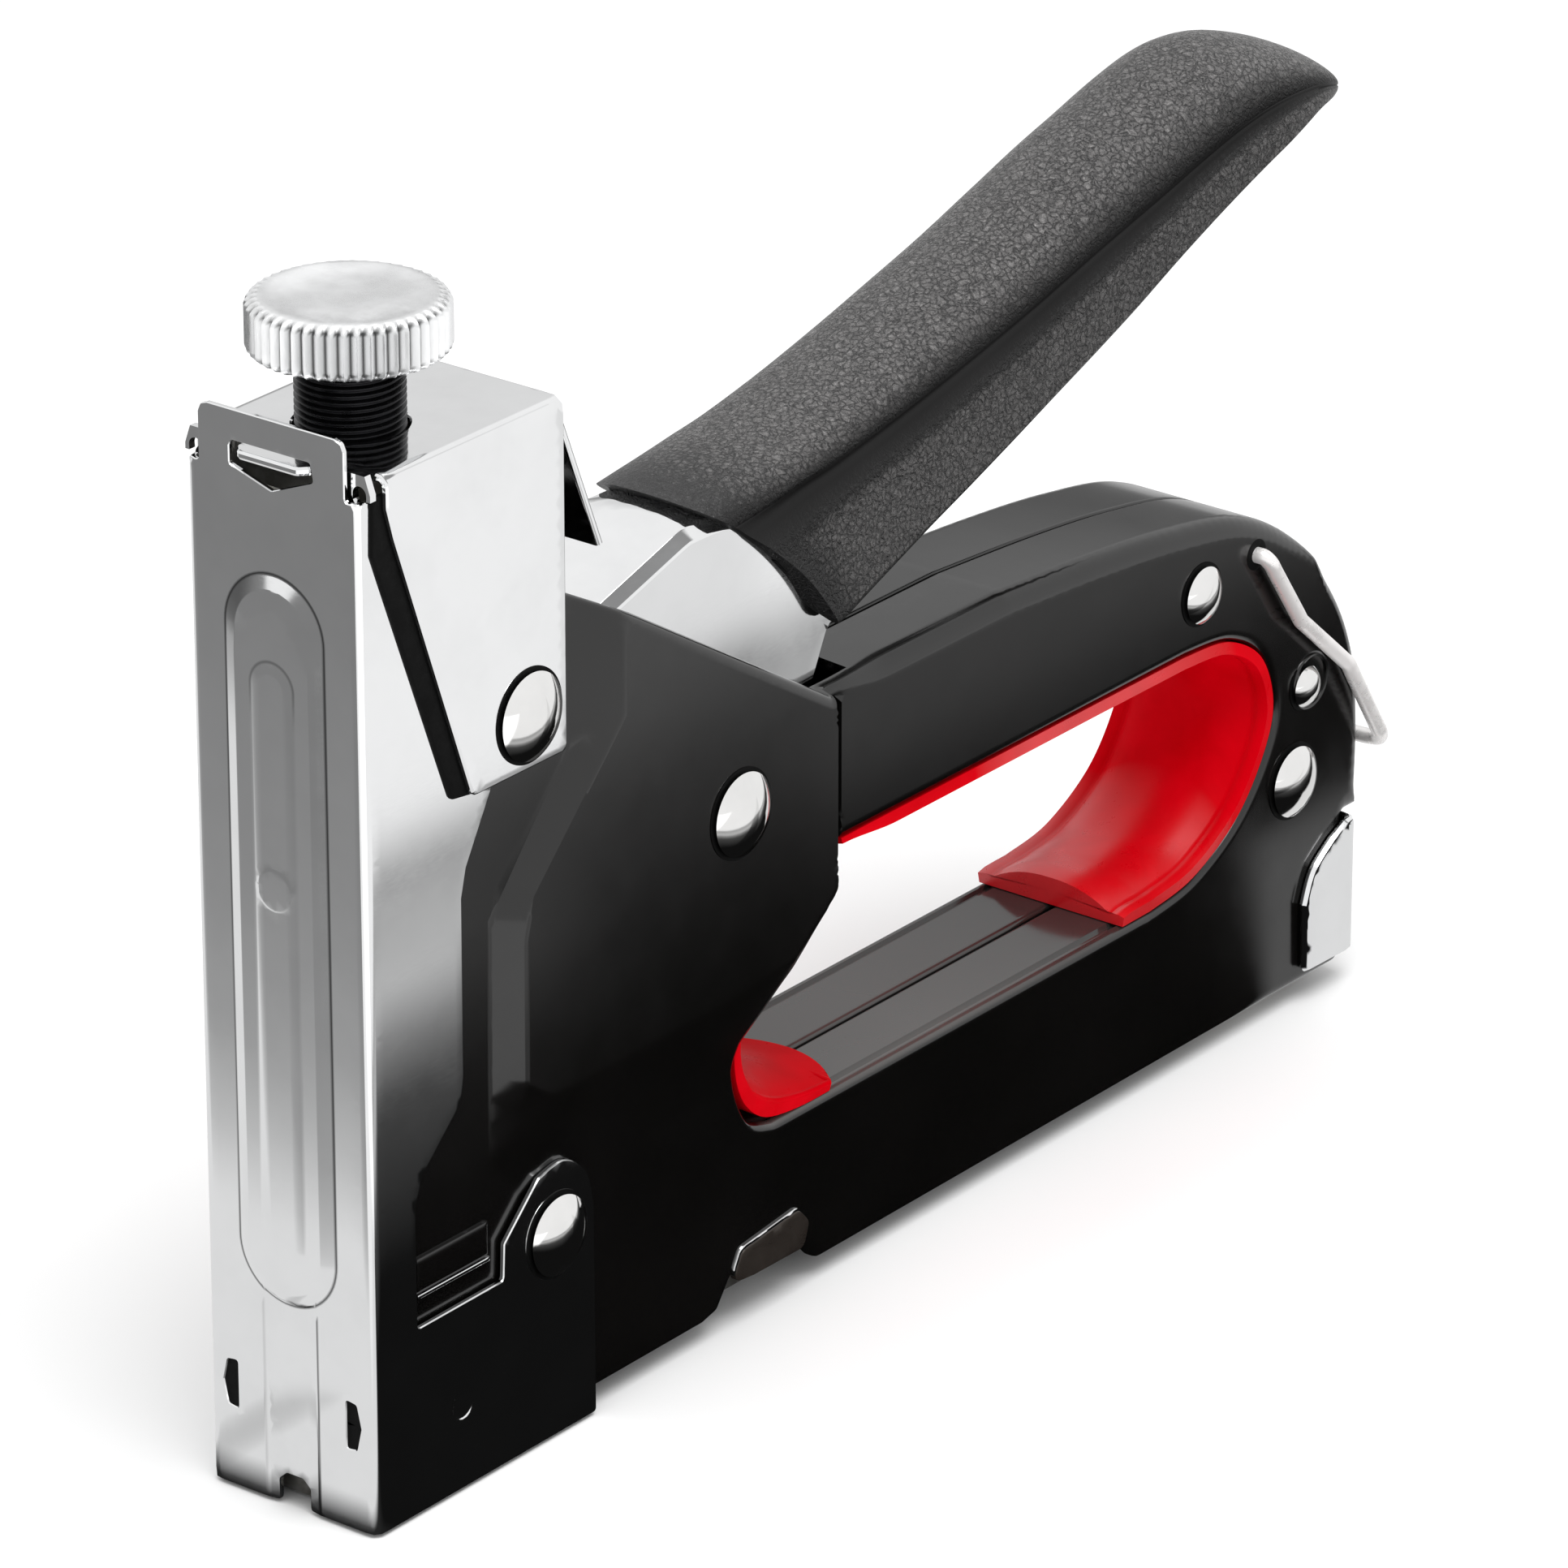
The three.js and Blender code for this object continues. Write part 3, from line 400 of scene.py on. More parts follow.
class Fold:
    """A sheet's section from its middle outwards, as (across, down), with round bends."""

    def __init__(self, corners, radius, steps=8):
        line = rounded(corners, radius, steps, closed=False)
        step = np.linalg.norm(np.diff(line, axis=0), axis=1)
        keep = np.concatenate([[True], step > 1e-6])
        self.line = line[keep]
        step = np.linalg.norm(np.diff(self.line, axis=0), axis=1)
        self.length = np.concatenate([[0], np.cumsum(step)])
        along = np.diff(self.line, axis=0) / step[:, None]
        ends = np.vstack([along[:1], along]) + np.vstack([along, along[-1:]])
        ends /= np.linalg.norm(ends, axis=1)[:, None]
        self.out = np.stack([ends[:, 1], -ends[:, 0]], axis=1)

    def at(self, s, inset):
        far = np.abs(s)
        side = np.sign(s)
        across = np.interp(far, self.length, self.line[:, 0])
        down = np.interp(far, self.length, self.line[:, 1])
        out_across = np.interp(far, self.length, self.out[:, 0])
        out_down = np.interp(far, self.length, self.out[:, 1])
        return side * (across - inset * out_across), down - inset * out_down

    def bends(self):
        """Lengths of the bends' points, where a sheet needs rows of points."""
        return self.length[1:-1]

    def reach(self, down):
        """Length at which the outer leg is this far down."""
        start = np.argmax(self.line[:, 0] > self.line[-1, 0] - 1e-6)
        return self.length[start] + down - self.line[start, 1]


def folded_sheet(loops, fold, place, sheet, spacing, relief=None, extra=None, rim=0.16):
    """A bent sheet. Its loops are flat outlines (along, length from the middle)."""
    skin = Skin()
    rim = min(rim, sheet * 0.45)
    edges = []
    for number, loop in enumerate(loops):
        edges.append(turned(dense(loop, spacing), left=number == 0))
    inner = [loop + inward(loop) * rim for loop in edges]
    outer = edges[0]
    low, high = outer[:, 0].min(), outer[:, 0].max()
    rows = [] if extra is None else [extra]
    along = np.arange(low + 0.2, high, 0.9)
    for bend in fold.bends():
        rows += [columns(along, -bend), columns(along, bend)]
    flat, triangles, spans = fill(inner, spacing, (), np.vstack(rows))
    height = relief(flat) if relief is not None else np.zeros(len(flat))

    def surface(points, inset):
        across, down = fold.at(points[:, 1], inset)
        return place(points[:, 0], across, down)

    top = skin.add(surface(flat, -height))
    bottom = skin.add(surface(flat, sheet - height))
    skin.triangles(top, triangles)
    skin.triangles(bottom, triangles[:, ::-1])
    for loop, core, span in zip(edges, inner, spans):
        rings = [top[span]]
        for turn, below in ((0.3, False), (1.0, False), (1.0, True), (0.3, True)):
            ring = core + (loop - core) * math.sin(turn * math.pi / 2)
            drop = rim * (1 - math.cos(turn * math.pi / 2))
            rings.append(skin.add(surface(ring, (sheet - drop if below else drop) - height[span])))
        skin.strips([*rings, bottom[span]])
    return skin


def mirrored(half):
    """A closed outline (along, s) from its half with s above 0, listed from end to end."""
    half = [tuple(p) for p in half]
    other = [(a, -s) for a, s in reversed(half) if s > 1e-6]
    return np.array(half + other, float)


def lathe(skin, profile, place, sides=64, close_ends=True):
    """A turned surface. profile is (radius, height); place sets (x, y, height) points."""
    rings = [skin.add(place(circle(radius, sides), height)) for radius, height in profile]
    skin.strips(rings)
    if close_ends:
        for end in (0, -1):
            skin.fan(rings[end], place(np.zeros((1, 2)), profile[end][1])[0])


def tube(skin, path, radius, sides=20):
    """A round wire along a path of points, with rounded ends."""
    path = np.array(path, float)
    ahead = headings(path)
    across = np.cross(ahead[0], [0.31, 0.2, 0.93])
    across /= np.linalg.norm(across)
    rings = []
    around = circle(1.0, sides)
    dome = [(1.0, 0.0), (0.82, 0.35), (0.4, 0.6)]
    for i, (point, tangent) in enumerate(zip(path, ahead)):
        across = across - tangent * (across @ tangent)
        across /= np.linalg.norm(across)
        ring = around[:, :1] * across + around[:, 1:] * np.cross(tangent, across)
        steps = [(1.0, 0.0)]
        if i == 0:
            steps = [(share, -out) for share, out in dome[::-1]]
        elif i == len(path) - 1:
            steps = dome
        for share, out in steps:
            rings.append(skin.add(point + (tangent * out + ring * share) * radius))
    skin.strips(rings)
    for end, out in ((0, -0.68), (-1, 0.68)):
        skin.fan(rings[end], path[end] + ahead[end] * radius * out)


def ramp(value, low, high):
    """0 below low, 1 above high, smooth between."""
    t = np.clip((np.asarray(value, float) - low) / (high - low), 0, 1)
    return t * t * (3 - 2 * t)


# ---------------------------------------------------------------- materials

class Nodes:
    """A short way to build the nodes of one material or world."""

    def __init__(self, owner, last):
        owner.use_nodes = True
        self.owner = owner
        self.tree = owner.node_tree
        self.last = self.tree.nodes[last]
        self.place = self.node("TexCoord", "Object")

    def give(self, node, *numbered, **named):
        """Sets inputs by number, or by name with _ for a space, to values or to links."""
        for name, value in [*enumerate(numbered), *named.items()]:
            socket = node.inputs[name if isinstance(name, int) else name.replace("_", " ")]
            if isinstance(value, bpy.types.NodeSocket):
                self.tree.links.new(value, socket)
            elif value is not None:
                socket.default_value = (*value, 1.0) if socket.type == "RGBA" else value

    def node(self, kind, out, settings=(), *numbered, **named):
        """One output of a new node with these settings and inputs."""
        made = self.tree.nodes.new("ShaderNode" + kind)
        for name, value in dict(settings).items():
            setattr(made, name, value)
        self.give(made, *numbered, **named)
        return made.outputs[out]

    def surface(self, **named):
        """The finished material, with these inputs of its shader."""
        self.give(self.last, **named)
        return self.owner

    def noise(self, size, detail=3.0, rough=0.55, vector=None, distortion=0.0, out="Fac"):
        """Noise with features about size millimetres across."""
        return self.node("TexNoise", out, Scale=1 / (size * MM), Detail=detail, Roughness=rough,
                         Distortion=distortion, Vector=vector or self.place)

    def spread(self, value, low, high, to_low, to_high):
        return self.node("MapRange", "Result", Value=value, From_Min=low, From_Max=high,
                         To_Min=to_low, To_Max=to_high)

    def rise(self, value, low, high, top=1.0):
        return self.spread(value, low, high, 0.0, top)

    def fall(self, value, low, high, least=0.0):
        return self.spread(value, low, high, 1.0, least)

    def math(self, operation, one, other):
        return self.node("Math", 0, {"operation": operation}, one, other)

    def times(self, one, other):
        return self.math("MULTIPLY", one, other)

    def colours(self, value, *stops):
        """A colour ramp: stops are (position, (r, g, b))."""
        node = self.tree.nodes.new("ShaderNodeValToRGB")
        elements = node.color_ramp.elements
        while len(elements) < len(stops):
            elements.new(0.5)
        for element, (position, colour) in zip(elements, stops):
            element.position = position
            element.color = (*colour, 1.0)
        self.give(node, Fac=value)
        return node.outputs["Color"]

    def mix(self, amount, one, other):
        return self.node("Mix", "Result", {"data_type": "RGBA"}, Factor=amount, A=one, B=other)

    def shifted(self, size, amount):
        """The place, pushed about by noise, so that patterns on it are irregular."""
        return self.node("VectorMath", "Vector", {"operation": "MULTIPLY_ADD"},
                         self.noise(size, 2.0, 0.5, out="Color"), (amount * MM,) * 3, self.place)

    def bump(self, height, strength, depth, normal=None):
        return self.node("Bump", "Normal", Strength=strength, Distance=depth * MM, Height=height,
                         Normal=normal)

    def edges(self, low, high):
        """1 on sharp outer edges, where finishes wear."""
        return self.rise(self.node("NewGeometry", "Pointiness"), low, high)

    def attribute(self, name):
        return self.node("Attribute", "Fac", {"attribute_name": name})

    def split(self, vector):
        """The x, y and z of a vector."""
        node = self.tree.nodes.new("ShaderNodeSeparateXYZ")
        self.give(node, vector)
        return tuple(node.outputs)


def grey(level):
    return (level,) * 3


def new_material(name):
    return Nodes(bpy.data.materials.new(name), "Principled BSDF")


def plated(name, tone, rough, brush, scratch, waves, spots, metal=1.0):
    """Bright plated steel: faint brushing, smudges, tiny scratches, and painted shade where the shade attribute is
    set.
    """
    nodes = new_material(name)
    smudge = nodes.noise(9, 4, 0.6)
    low = tuple(c * (1 - spots) for c in tone)
    unshaded_tone = nodes.colours(smudge, (0.3, low), (0.6, tone))
    line = nodes.noise(1.1, 5, 0.6, nodes.node("Mapping", "Vector", Vector=nodes.place, Scale=brush))
    base = nodes.spread(smudge, 0.3, 0.7, rough * 0.7, rough * 1.5)
    fine = nodes.spread(line, 0.3, 0.7, -rough * 0.25, rough * 0.35)
    normal = nodes.bump(line, scratch, 0.004)
    normal = nodes.bump(nodes.noise(0.5, 2, 0.5), scratch * 0.6, 0.006, normal)
    if waves:
        normal = nodes.bump(nodes.noise(14, 1, 0.3), waves, 0.06, normal)
    # the shade attribute mixes in near-black: painted shade in creases and flutes
    return nodes.surface(Base_Color=nodes.mix(nodes.attribute("shade"), unshaded_tone, grey(0.003)), Metallic=metal,
                         Roughness=nodes.math("ADD", base, fine), Normal=normal)


def mottled(name, cloud, stops, rough, grit, worn=None, **rest):
    """A dull finish: cloudy colour, a roughness that goes with it, and fine grit.

    cloud is a noise's size, detail and roughness. grit is a size, a strength and a depth.
    """
    nodes = new_material(name)
    mottle = nodes.noise(*cloud)
    colour = nodes.colours(mottle, *stops)
    if worn:
        colour = nodes.mix(nodes.times(nodes.edges(0.54, 0.66), 0.3), colour, worn)
    size, strength, depth = grit
    return nodes.surface(Base_Color=colour, Roughness=nodes.spread(mottle, 0.3, 0.7, *rough),
                         Normal=nodes.bump(nodes.noise(size, 3, 0.6), strength, depth), **rest)


def flange_sheen(nodes):
    """1 on the hand hole's lower flange, where the paint is given a painted sheen."""
    x, _, z = nodes.split(nodes.place)
    up = nodes.rise(nodes.split(nodes.node("NewGeometry", "Normal"))[2], 0.35, 0.8)
    along = nodes.times(nodes.rise(x, 0.052, 0.06), nodes.fall(x, 0.095, 0.135, 0.25))
    return nodes.times(up, nodes.times(nodes.fall(z, 0.0215, 0.0225), along))


def painted_steel():
    """Black enamel on the shells: fine orange peel, dust in the gloss, thin wear on edges, and a painted sheen on
    the hand hole's lower flange.
    """
    nodes = new_material("body_paint")
    paint = nodes.colours(nodes.noise(18, 3, 0.5), (0.35, (0.0024, 0.0022, 0.002)),
                          (0.7, (0.0038, 0.0034, 0.0032)))
    chips = nodes.times(nodes.edges(0.56, 0.68), nodes.rise(nodes.noise(1.6, 4, 0.7), 0.52, 0.66))
    colour = nodes.mix(nodes.times(chips, 0.35), paint, (0.16, 0.16, 0.165))
    # a paler colour on the lower flange: a painted sheen
    colour = nodes.mix(nodes.times(flange_sheen(nodes), 0.75), colour, (0.1, 0.096, 0.092))
    gloss = nodes.spread(nodes.noise(6, 5, 0.6), 0.25, 0.75, 0.12, 0.19)
    dust = nodes.rise(nodes.noise(0.5, 2, 0.5), 0.6, 0.8, 0.05)
    peel = nodes.bump(nodes.noise(1.3, 2, 0.5), 0.1, 0.006)
    peel = nodes.bump(nodes.noise(0.3, 1, 0.5), 0.06, 0.002, peel)
    return nodes.surface(Base_Color=colour, IOR=1.58, Roughness=nodes.math("ADD", gloss, dust), Normal=peel)


def red_moulding():
    """Red moulded plastic with faint flow marks, polished where fingers reach the rear liner."""
    nodes = new_material("red_plastic")
    colour = nodes.colours(nodes.noise(7, 3, 0.5, distortion=0.8), (0.3, (0.52, 0.0002, 0.004)),
                           (0.7, (0.6, 0.0004, 0.006)))
    x = nodes.split(nodes.place)[0]
    polished = nodes.times(nodes.rise(x, 0.1, 0.11), nodes.fall(x, 0.13, 0.15))
    rough = nodes.spread(nodes.noise(3, 4, 0.6), 0.3, 0.7, 0.26, 0.34)
    return nodes.surface(Base_Color=colour, IOR=1.45, Specular_IOR_Level=nodes.math("ADD", polished, 0.01),
                         Roughness=rough, Normal=nodes.bump(nodes.noise(0.35, 3, 0.6), 0.04, 0.003))


def leather_rubber():
    """Black rubber with a moulded leather grain that fades out in the valley, pale painted highlights on its ridges
    and painted shade towards the crease.
    """
    nodes = new_material("grip_rubber")
    shade = nodes.attribute("shade")
    bent = nodes.shifted(1.4, 1.3)
    cells = nodes.node("TexVoronoi", "Distance", {"feature": "DISTANCE_TO_EDGE"}, Vector=bent,
                       Scale=1 / (0.85 * MM))
    height = nodes.math("ADD", nodes.times(nodes.rise(cells, 0.0, 0.2), 0.28),
                        nodes.times(nodes.noise(0.55, 3, 0.6, bent, 2.0), 1.1))
    height = nodes.times(height, nodes.attribute("grain"))
    dark = nodes.colours(nodes.noise(14, 3, 0.55), (0.3, (0.0035, 0.0033, 0.0033)),
                         (0.7, (0.0055, 0.0052, 0.0053)))
    # pale grain ridges are painted highlights; the shade attribute, painted shade, fades them to dark towards the
    # crease
    grain_glint = nodes.colours(height, (0.5, (0.006, 0.0057, 0.006)), (0.98, (0.2, 0.192, 0.19)))
    rough = nodes.spread(nodes.math("ADD", height, nodes.noise(0.3, 2, 0.5)), 0.3, 1.6, 0.44, 0.24)
    normal = nodes.bump(height, 1.0, 0.55)
    normal = nodes.bump(nodes.noise(0.16, 2, 0.5), 0.2, 0.012, normal)
    return nodes.surface(Base_Color=nodes.mix(shade, dark, grain_glint), IOR=1.5, Roughness=rough, Normal=normal,
                         Specular_IOR_Level=nodes.spread(shade, 0.0, 1.0, 0.18, 0.65))


# plated steels: tone, roughness, brushing's stretch, scratches, waves, smudges
CHROME = plated("chrome_plate", (0.9, 0.905, 0.91), 0.07, (1, 1, 14), 0.015, 0.01, 0.05)
KNOB_METAL = plated("knob_metal", (0.9, 0.905, 0.91), 0.32, (10, 10, 1), 0.05, 0.0, 0.08)
RIVET_STEEL = plated("rivet_steel", (0.88, 0.875, 0.865), 0.07, (1, 1, 3), 0.06, 0.1, 0.08)
WIRE_STEEL = plated("wire_steel", (0.9, 0.88, 0.87), 0.3, (1, 1, 1), 0.01, 0.0, 0.04, 0.45)
LUG_STEEL = plated("lug_steel", (0.045, 0.036, 0.03), 0.3, (1, 1, 3), 0.03, 0.0, 0.3, 0.5)

PAINT = painted_steel()
RED = red_moulding()
LEATHER = leather_rubber()

# dull rubber, oily blackened steel, black for painted shade in gaps, holes and around the rivets, zinc on the
# working parts
RUBBER = mottled("bumper_rubber", (3, 4, 0.6), ((0.3, grey(0.012)), (0.8, grey(0.03))), (0.55, 0.8),
                 (0.4, 0.2, 0.02))
DARK_STEEL = mottled("dark_steel", (2.5, 4, 0.6), ((0.3, (0.008, 0.008, 0.009)), (0.75, (0.02, 0.02, 0.022))),
                     (0.22, 0.42), (0.5, 0.12, 0.01), (0.2, 0.2, 0.21), Metallic=0.85)
SHADOW_BLACK = mottled("shadow_black", (1.2, 4, 0.6), ((0.3, grey(0.0008)), (0.8, grey(0.002))), (0.5, 0.7),
                       (0.3, 0.1, 0.01), Specular_IOR_Level=0.12)
ZINC = mottled("zinc_steel", (2.2, 5, 0.65), ((0.3, (0.34, 0.32, 0.28)), (0.55, (0.47, 0.46, 0.43)),
                                              (0.75, grey(0.55))), (0.26, 0.46), (0.3, 0.15, 0.008), Metallic=0.95)

MATERIALS = (PAINT, CHROME, KNOB_METAL, RIVET_STEEL, WIRE_STEEL, DARK_STEEL, ZINC, RED, LEATHER, RUBBER)
SLOT_OF = {"shadow_black": "body_paint", "lug_steel": "chrome_plate"}
SLOT_MATERIALS = {slot_of(material): material for material in MATERIALS}


# ---------------------------------------------------------------- body shells

def body_outline():
    rear = smooth([(182, 20.9), (182.2, 32), (180.7, 41.8), (176.2, 50.5), (168.5, 59.1), (158, 64.9),
                   (145, 67.6), (130, 69.3), (112, 70.6)], 8)
    return [
        (4.5, 2), (56.9, 2), (59.5, 2.6), (62, 6), (73, 7.1), (75.4, 4.2), (77.4, 2), (178.4, 2),
        (178.4, 20.9), *rear, (77, 70.6), (42.8, 91.6), (32.3, 97.3), (24, 101.5), (4.5, 101.5),
    ]


def hand_hole():
    rear = smooth([(140, 21.8), (148.4, 23.1), (156.9, 27.6), (162.4, 34.1), (164.2, 40.2),
                   (161.4, 46.8), (154.6, 50.8), (146, 51.8)], 8)
    front = smooth([(81.5, 51.8), (78.4, 47.6), (75, 43.8), (70.8, 39.6), (67, 36.4)], 6)
    corner = smooth([(63.2, 33.6), (62.4, 30.6), (63.4, 26.4), (65.6, 23.2), (69.5, 21.8)], 6)
    return [*rear, *front, *corner]


HEAD_BASE = np.array([(34, 110), (34, 78.5), (21, 63.5), (20.5, 36), (26, 29), (60, 29), (66, 33),
                      (75, 40), (80, 46), (78.1, 51), (78.1, 110)], float)
HEAD_FULL = np.array([(40.8, 110), (40.8, 80.8), (25.4, 65.4), (24.2, 61), (24.2, 44), (28, 41.5),
                      (62, 41.5), (70, 42), (78, 47.5), (77.6, 51), (77.6, 110)], float)
TROUGH_DEPTH = 1.7
LEAST_INSIDE = 8.35


def inside_depth(points, polygon):
    """Distance from the polygon's edge for points inside it, otherwise 0."""
    return np.where(inside(points, [polygon]), distance(points, [polygon]), 0.0)


def body_height(points):
    """Half-width of the body at each (x, z), before its edges are rounded."""
    in_base = inside_depth(points, HEAD_BASE)
    to_full = np.where(inside(points, [HEAD_FULL]), 0.0, distance(points, [HEAD_FULL]))
    width = in_base + to_full
    share = np.where(in_base > 0, in_base / np.maximum(width, 1e-6), 0.0)
    soft = ramp(width, 6, 11)
    share = share * (1 - soft) + ramp(share, 0, 1) * soft
    height = BODY_HALF + (HEAD_HALF - BODY_HALF) * share
    x, z = points[:, 0], points[:, 1]
    trough = ramp(x, 77.9, 78.4) * (1 - ramp(x, 80.9, 81.3)) * ramp(z, 45, 50) * (1 - ramp(z, 67.8, 69.4))
    return height - TROUGH_DEPTH * trough


def edge_radius(points):
    x, z = points[:, 0], points[:, 1]
    arm = ramp(x, 80, 90) * ramp(z, 54, 60)
    rear = ramp(x, 171, 175) * ramp(z, 19, 24)
    return 1.0 + 1.3 * np.maximum(arm, rear)


def flange_reach(point, on_hole):
    """How near the middle the shell's edge comes at this point of its outline."""
    x, z = point
    if on_hole:
        return 0.16
    if x < 5.2:
        return 9.3
    if z > 70 and x < 85:
        return 9.3 if x < 33 else 8.6
    if z < 8.5 or (x > 177 and z < 21.5):
        return 8.3
    return 0.16


def along_line(line, offsets, step=0.8, closed=True):
    """Rows of points beside a line, at the given distances to each side."""
    base = dense(line, step, closed)
    side = inward(base) if closed else inward(np.vstack([base, base[::-1]]))[:len(base)]
    return np.vstack([base + side * offset for offset in offsets])


def shell_parts():
    loops = [turned(dense(rounded(body_outline(), 1.2), 0.9), left=True),
             turned(dense(rounded(hand_hole(), 1.0), 0.8), left=False)]
    lines = [along_line(HEAD_BASE, (-0.35, 0, 0.35)), along_line(HEAD_FULL, (-0.35, 0, 0.35))]
    lines += [columns(x, np.arange(44, 70.5, 0.8)) for x in (77.9, 78.15, 78.4, 79.5, 80.9, 81.1, 81.3)]
    rings = (0.1, 0.28, 0.55, 0.95, 1.4, 1.9, 2.35, 3.0)
    return loops, fill(loops, 2.1, rings, np.vstack(lines))


def shell(side, parts):
    """One pressed half: face, rounded edges, flanges to the middle and an inner wall."""
    loops, (flat, triangles, spans) = parts
    skin = Skin()
    radius = edge_radius(flat)
    gap = np.minimum(distance(flat, loops), radius)
    fillet = radius - np.sqrt(np.maximum(radius ** 2 - (radius - gap) ** 2, 0))
    height = body_height(flat) - fillet

    def add(points, y):
        return skin.add(sideways(points, side * y))

    def add_lining(points):
        return add(points, np.maximum(body_height(points) - WALL, LEAST_INSIDE))

    face = add(flat, height)
    skin.triangles(face, triangles)
    for loop, span, on_hole in zip(loops, spans, (False, True)):
        reach = np.array([flange_reach(p, on_hole) for p in loop])
        edge = height[span]
        steps = []
        if on_hole:
            steps = [(0.0, edge - 0.15), (0.4, edge - 0.45), (0.4, edge - 0.95), (0.0, edge - 1.4)]
        bend = np.minimum(0.8 if on_hole else 0.4, (edge - reach) * 0.4)
        for degrees in (0, 30, 60, 90):
            angle = math.radians(degrees)
            steps.append((bend * (1 - math.cos(angle)), reach + bend * (1 - math.sin(angle))))
        steps.append((WALL, reach))
        rings = [face[span]]
        for shift, y in steps:
            rings.append(add(loop + inward(loop) * np.reshape(shift, (-1, 1)), y))
        skin.strips([*rings, add_lining(loop + inward(loop) * WALL)])
    keep = np.all(distance(flat, loops)[triangles] > WALL - 0.3, axis=1)
    skin.triangles(add_lining(flat), triangles[keep][:, ::-1])
    return skin


SHELL_PARTS = shell_parts()
for side, label in SIDES:
    make(shell(side, SHELL_PARTS), label + "_shell_skin", PAINT, "body", (label + "_shell",))


# ---------------------------------------------------------------- small plates on the shells

def flat_plate(outline, low, high, side, edge=0.25, spacing=1.6):
    """A plate with rounded edges, its outline in (x, z), between two widths on one side."""
    skin = Skin()
    loop = turned(dense(outline, spacing))
    core = loop + inward(loop) * edge
    flat, triangles, (span,) = fill([core], spacing)

    def add(points, y):
        return skin.add(sideways(points, side * y))

    near, far = add(flat, high), add(flat, low)
    skin.triangles(near, triangles)
    skin.triangles(far, triangles[:, ::-1])
    skin.strips([near[span], add(core + (loop - core) * 0.7, high - edge * 0.3), add(loop, high - edge),
                 add(loop, low + edge), far[span]])
    return skin


def make_plates(name, material, body, *measures):
    """The same plate on both sides."""
    for side, label in SIDES:
        outline, low, high, *rest = measures
        make(flat_plate(outline, low, high, side, *rest), name + "_" + label, material, body)


PAD = [(8.0, 25.4), (19.7, 25.4), (19.7, 29.3), (8.0, 29.3)]
PAD_STRIP = [(8.0, 24.6), (19.9, 24.6), (19.9, 25.1), (8.0, 25.1)]
NOTCH_LUG = rounded([(61.4, 5.4), (63.2, 8.7), (73.3, 9.8), (75.2, 7.8), (74.2, 4.9), (65.2, 5.0)], 1.2, 5)
make_plates("pad_strip", CHROME, "body", PAD_STRIP, 10.2, 10.9, 0.12, 0.6)
make_plates("pad", PAINT, "body", PAD, 10.2, 10.85, 0.22, 0.6)
make_plates("notch_lug", LUG_STEEL, "body", NOTCH_LUG, 10.0, 10.95, 0.15, 0.8)
make_plates("notch_rim", CHROME, "body", NOTCH_LUG + (-0.15, 0.42), 10.0, 10.8, 0.2, 0.8)


# ---------------------------------------------------------------- nose cover

PANEL_HALF = 6.6
PANEL_LOW = 30.4
PANEL_HIGH = 100.2
PANEL_RISE = 0.62
INNER_HALF = 2.9
INNER_LOW = 31.0
INNER_HIGH = 94.4
CHANNEL_HALF = 3.7
DOT_HEIGHT = 71.8
DIMPLE_FROM_MIDDLE = 25.5
DIMPLE_HEIGHT = 9.9
WINDOW = np.array([(9.3, 7.5), (9.5, 8.9), (12.2, 9.5), (14.8, 8.9), (15.0, 7.5)])


def capsule_depth(points, half_width, low, high):
    """How far inside an upright capsule each (z, y) point is, negative outside."""
    z = np.clip(points[:, 0], low, high)
    return half_width - np.hypot(points[:, 0] - z, points[:, 1])


def cover_relief(flat):
    """Pressed pattern of the nose: a stepped long panel, a channel and a side dimple."""
    z, s = flat[:, 0], flat[:, 1]
    depth = capsule_depth(flat, PANEL_HALF, PANEL_LOW, PANEL_HIGH)
    wall = 1.6 + 0.9 * ramp(z, 97, 103)
    height = PANEL_RISE * np.clip(depth / wall, 0, 1)
    inner = capsule_depth(flat, INNER_HALF, INNER_LOW, INNER_HIGH)
    height += 0.19 * ramp(inner, 0, 0.8)
    dot = 2.5 - np.hypot(z - DOT_HEIGHT, s)
    height += 0.07 * ramp(dot, 0, 0.35)
    channel = CHANNEL_HALF - np.abs(s)
    height -= 0.2 * ramp(channel, 0, 0.5) * (1 - ramp(z, 23, 26)) * (depth < 0.2)
    dimple = np.hypot(z - DIMPLE_HEIGHT, np.abs(s) - DIMPLE_FROM_MIDDLE)
    height -= 0.3 * (1 - ramp(dimple, 1.45, 2.0)) * ramp(dimple, 0.2, 1.9)
    return height


def cover_shade(points):
    """Painted shade along the pressed outlines of the nose's face, on its upper left bevel and beside the channel.
    """
    x, y, z = points.T
    flat = np.stack([z, y], axis=1)
    depth = capsule_depth(flat, PANEL_HALF, PANEL_LOW, PANEL_HIGH)
    shade = 0.9 * (1 - ramp(np.abs(depth), 0.05, 0.24))
    # painted shade on the upper left bevel, which faces away from the light
    high_left = ramp(y, 1.5, 4.5) * ramp(z, 86, 100) * (depth > 0.1) * (depth < 1.7)
    shade = np.maximum(shade, 0.55 * high_left)
    inner = capsule_depth(flat, INNER_HALF, INNER_LOW, INNER_HIGH)
    shade = np.maximum(shade, 0.45 * (1 - ramp(np.abs(inner), 0.05, 0.25)) * ramp(z, 90, 95))
    # painted shade lines beside the channel, darker on the right side than on the left
    line = 1 - ramp(np.abs(np.abs(y) - CHANNEL_HALF), 0.05, 0.24)
    line *= np.where(y < 0, 0.85, 0.2) * (1 - ramp(z, 23.2, 23.8))
    return np.maximum(shade, line) * (x < 0.3) * (np.abs(y) < COVER_HALF - 1.5)


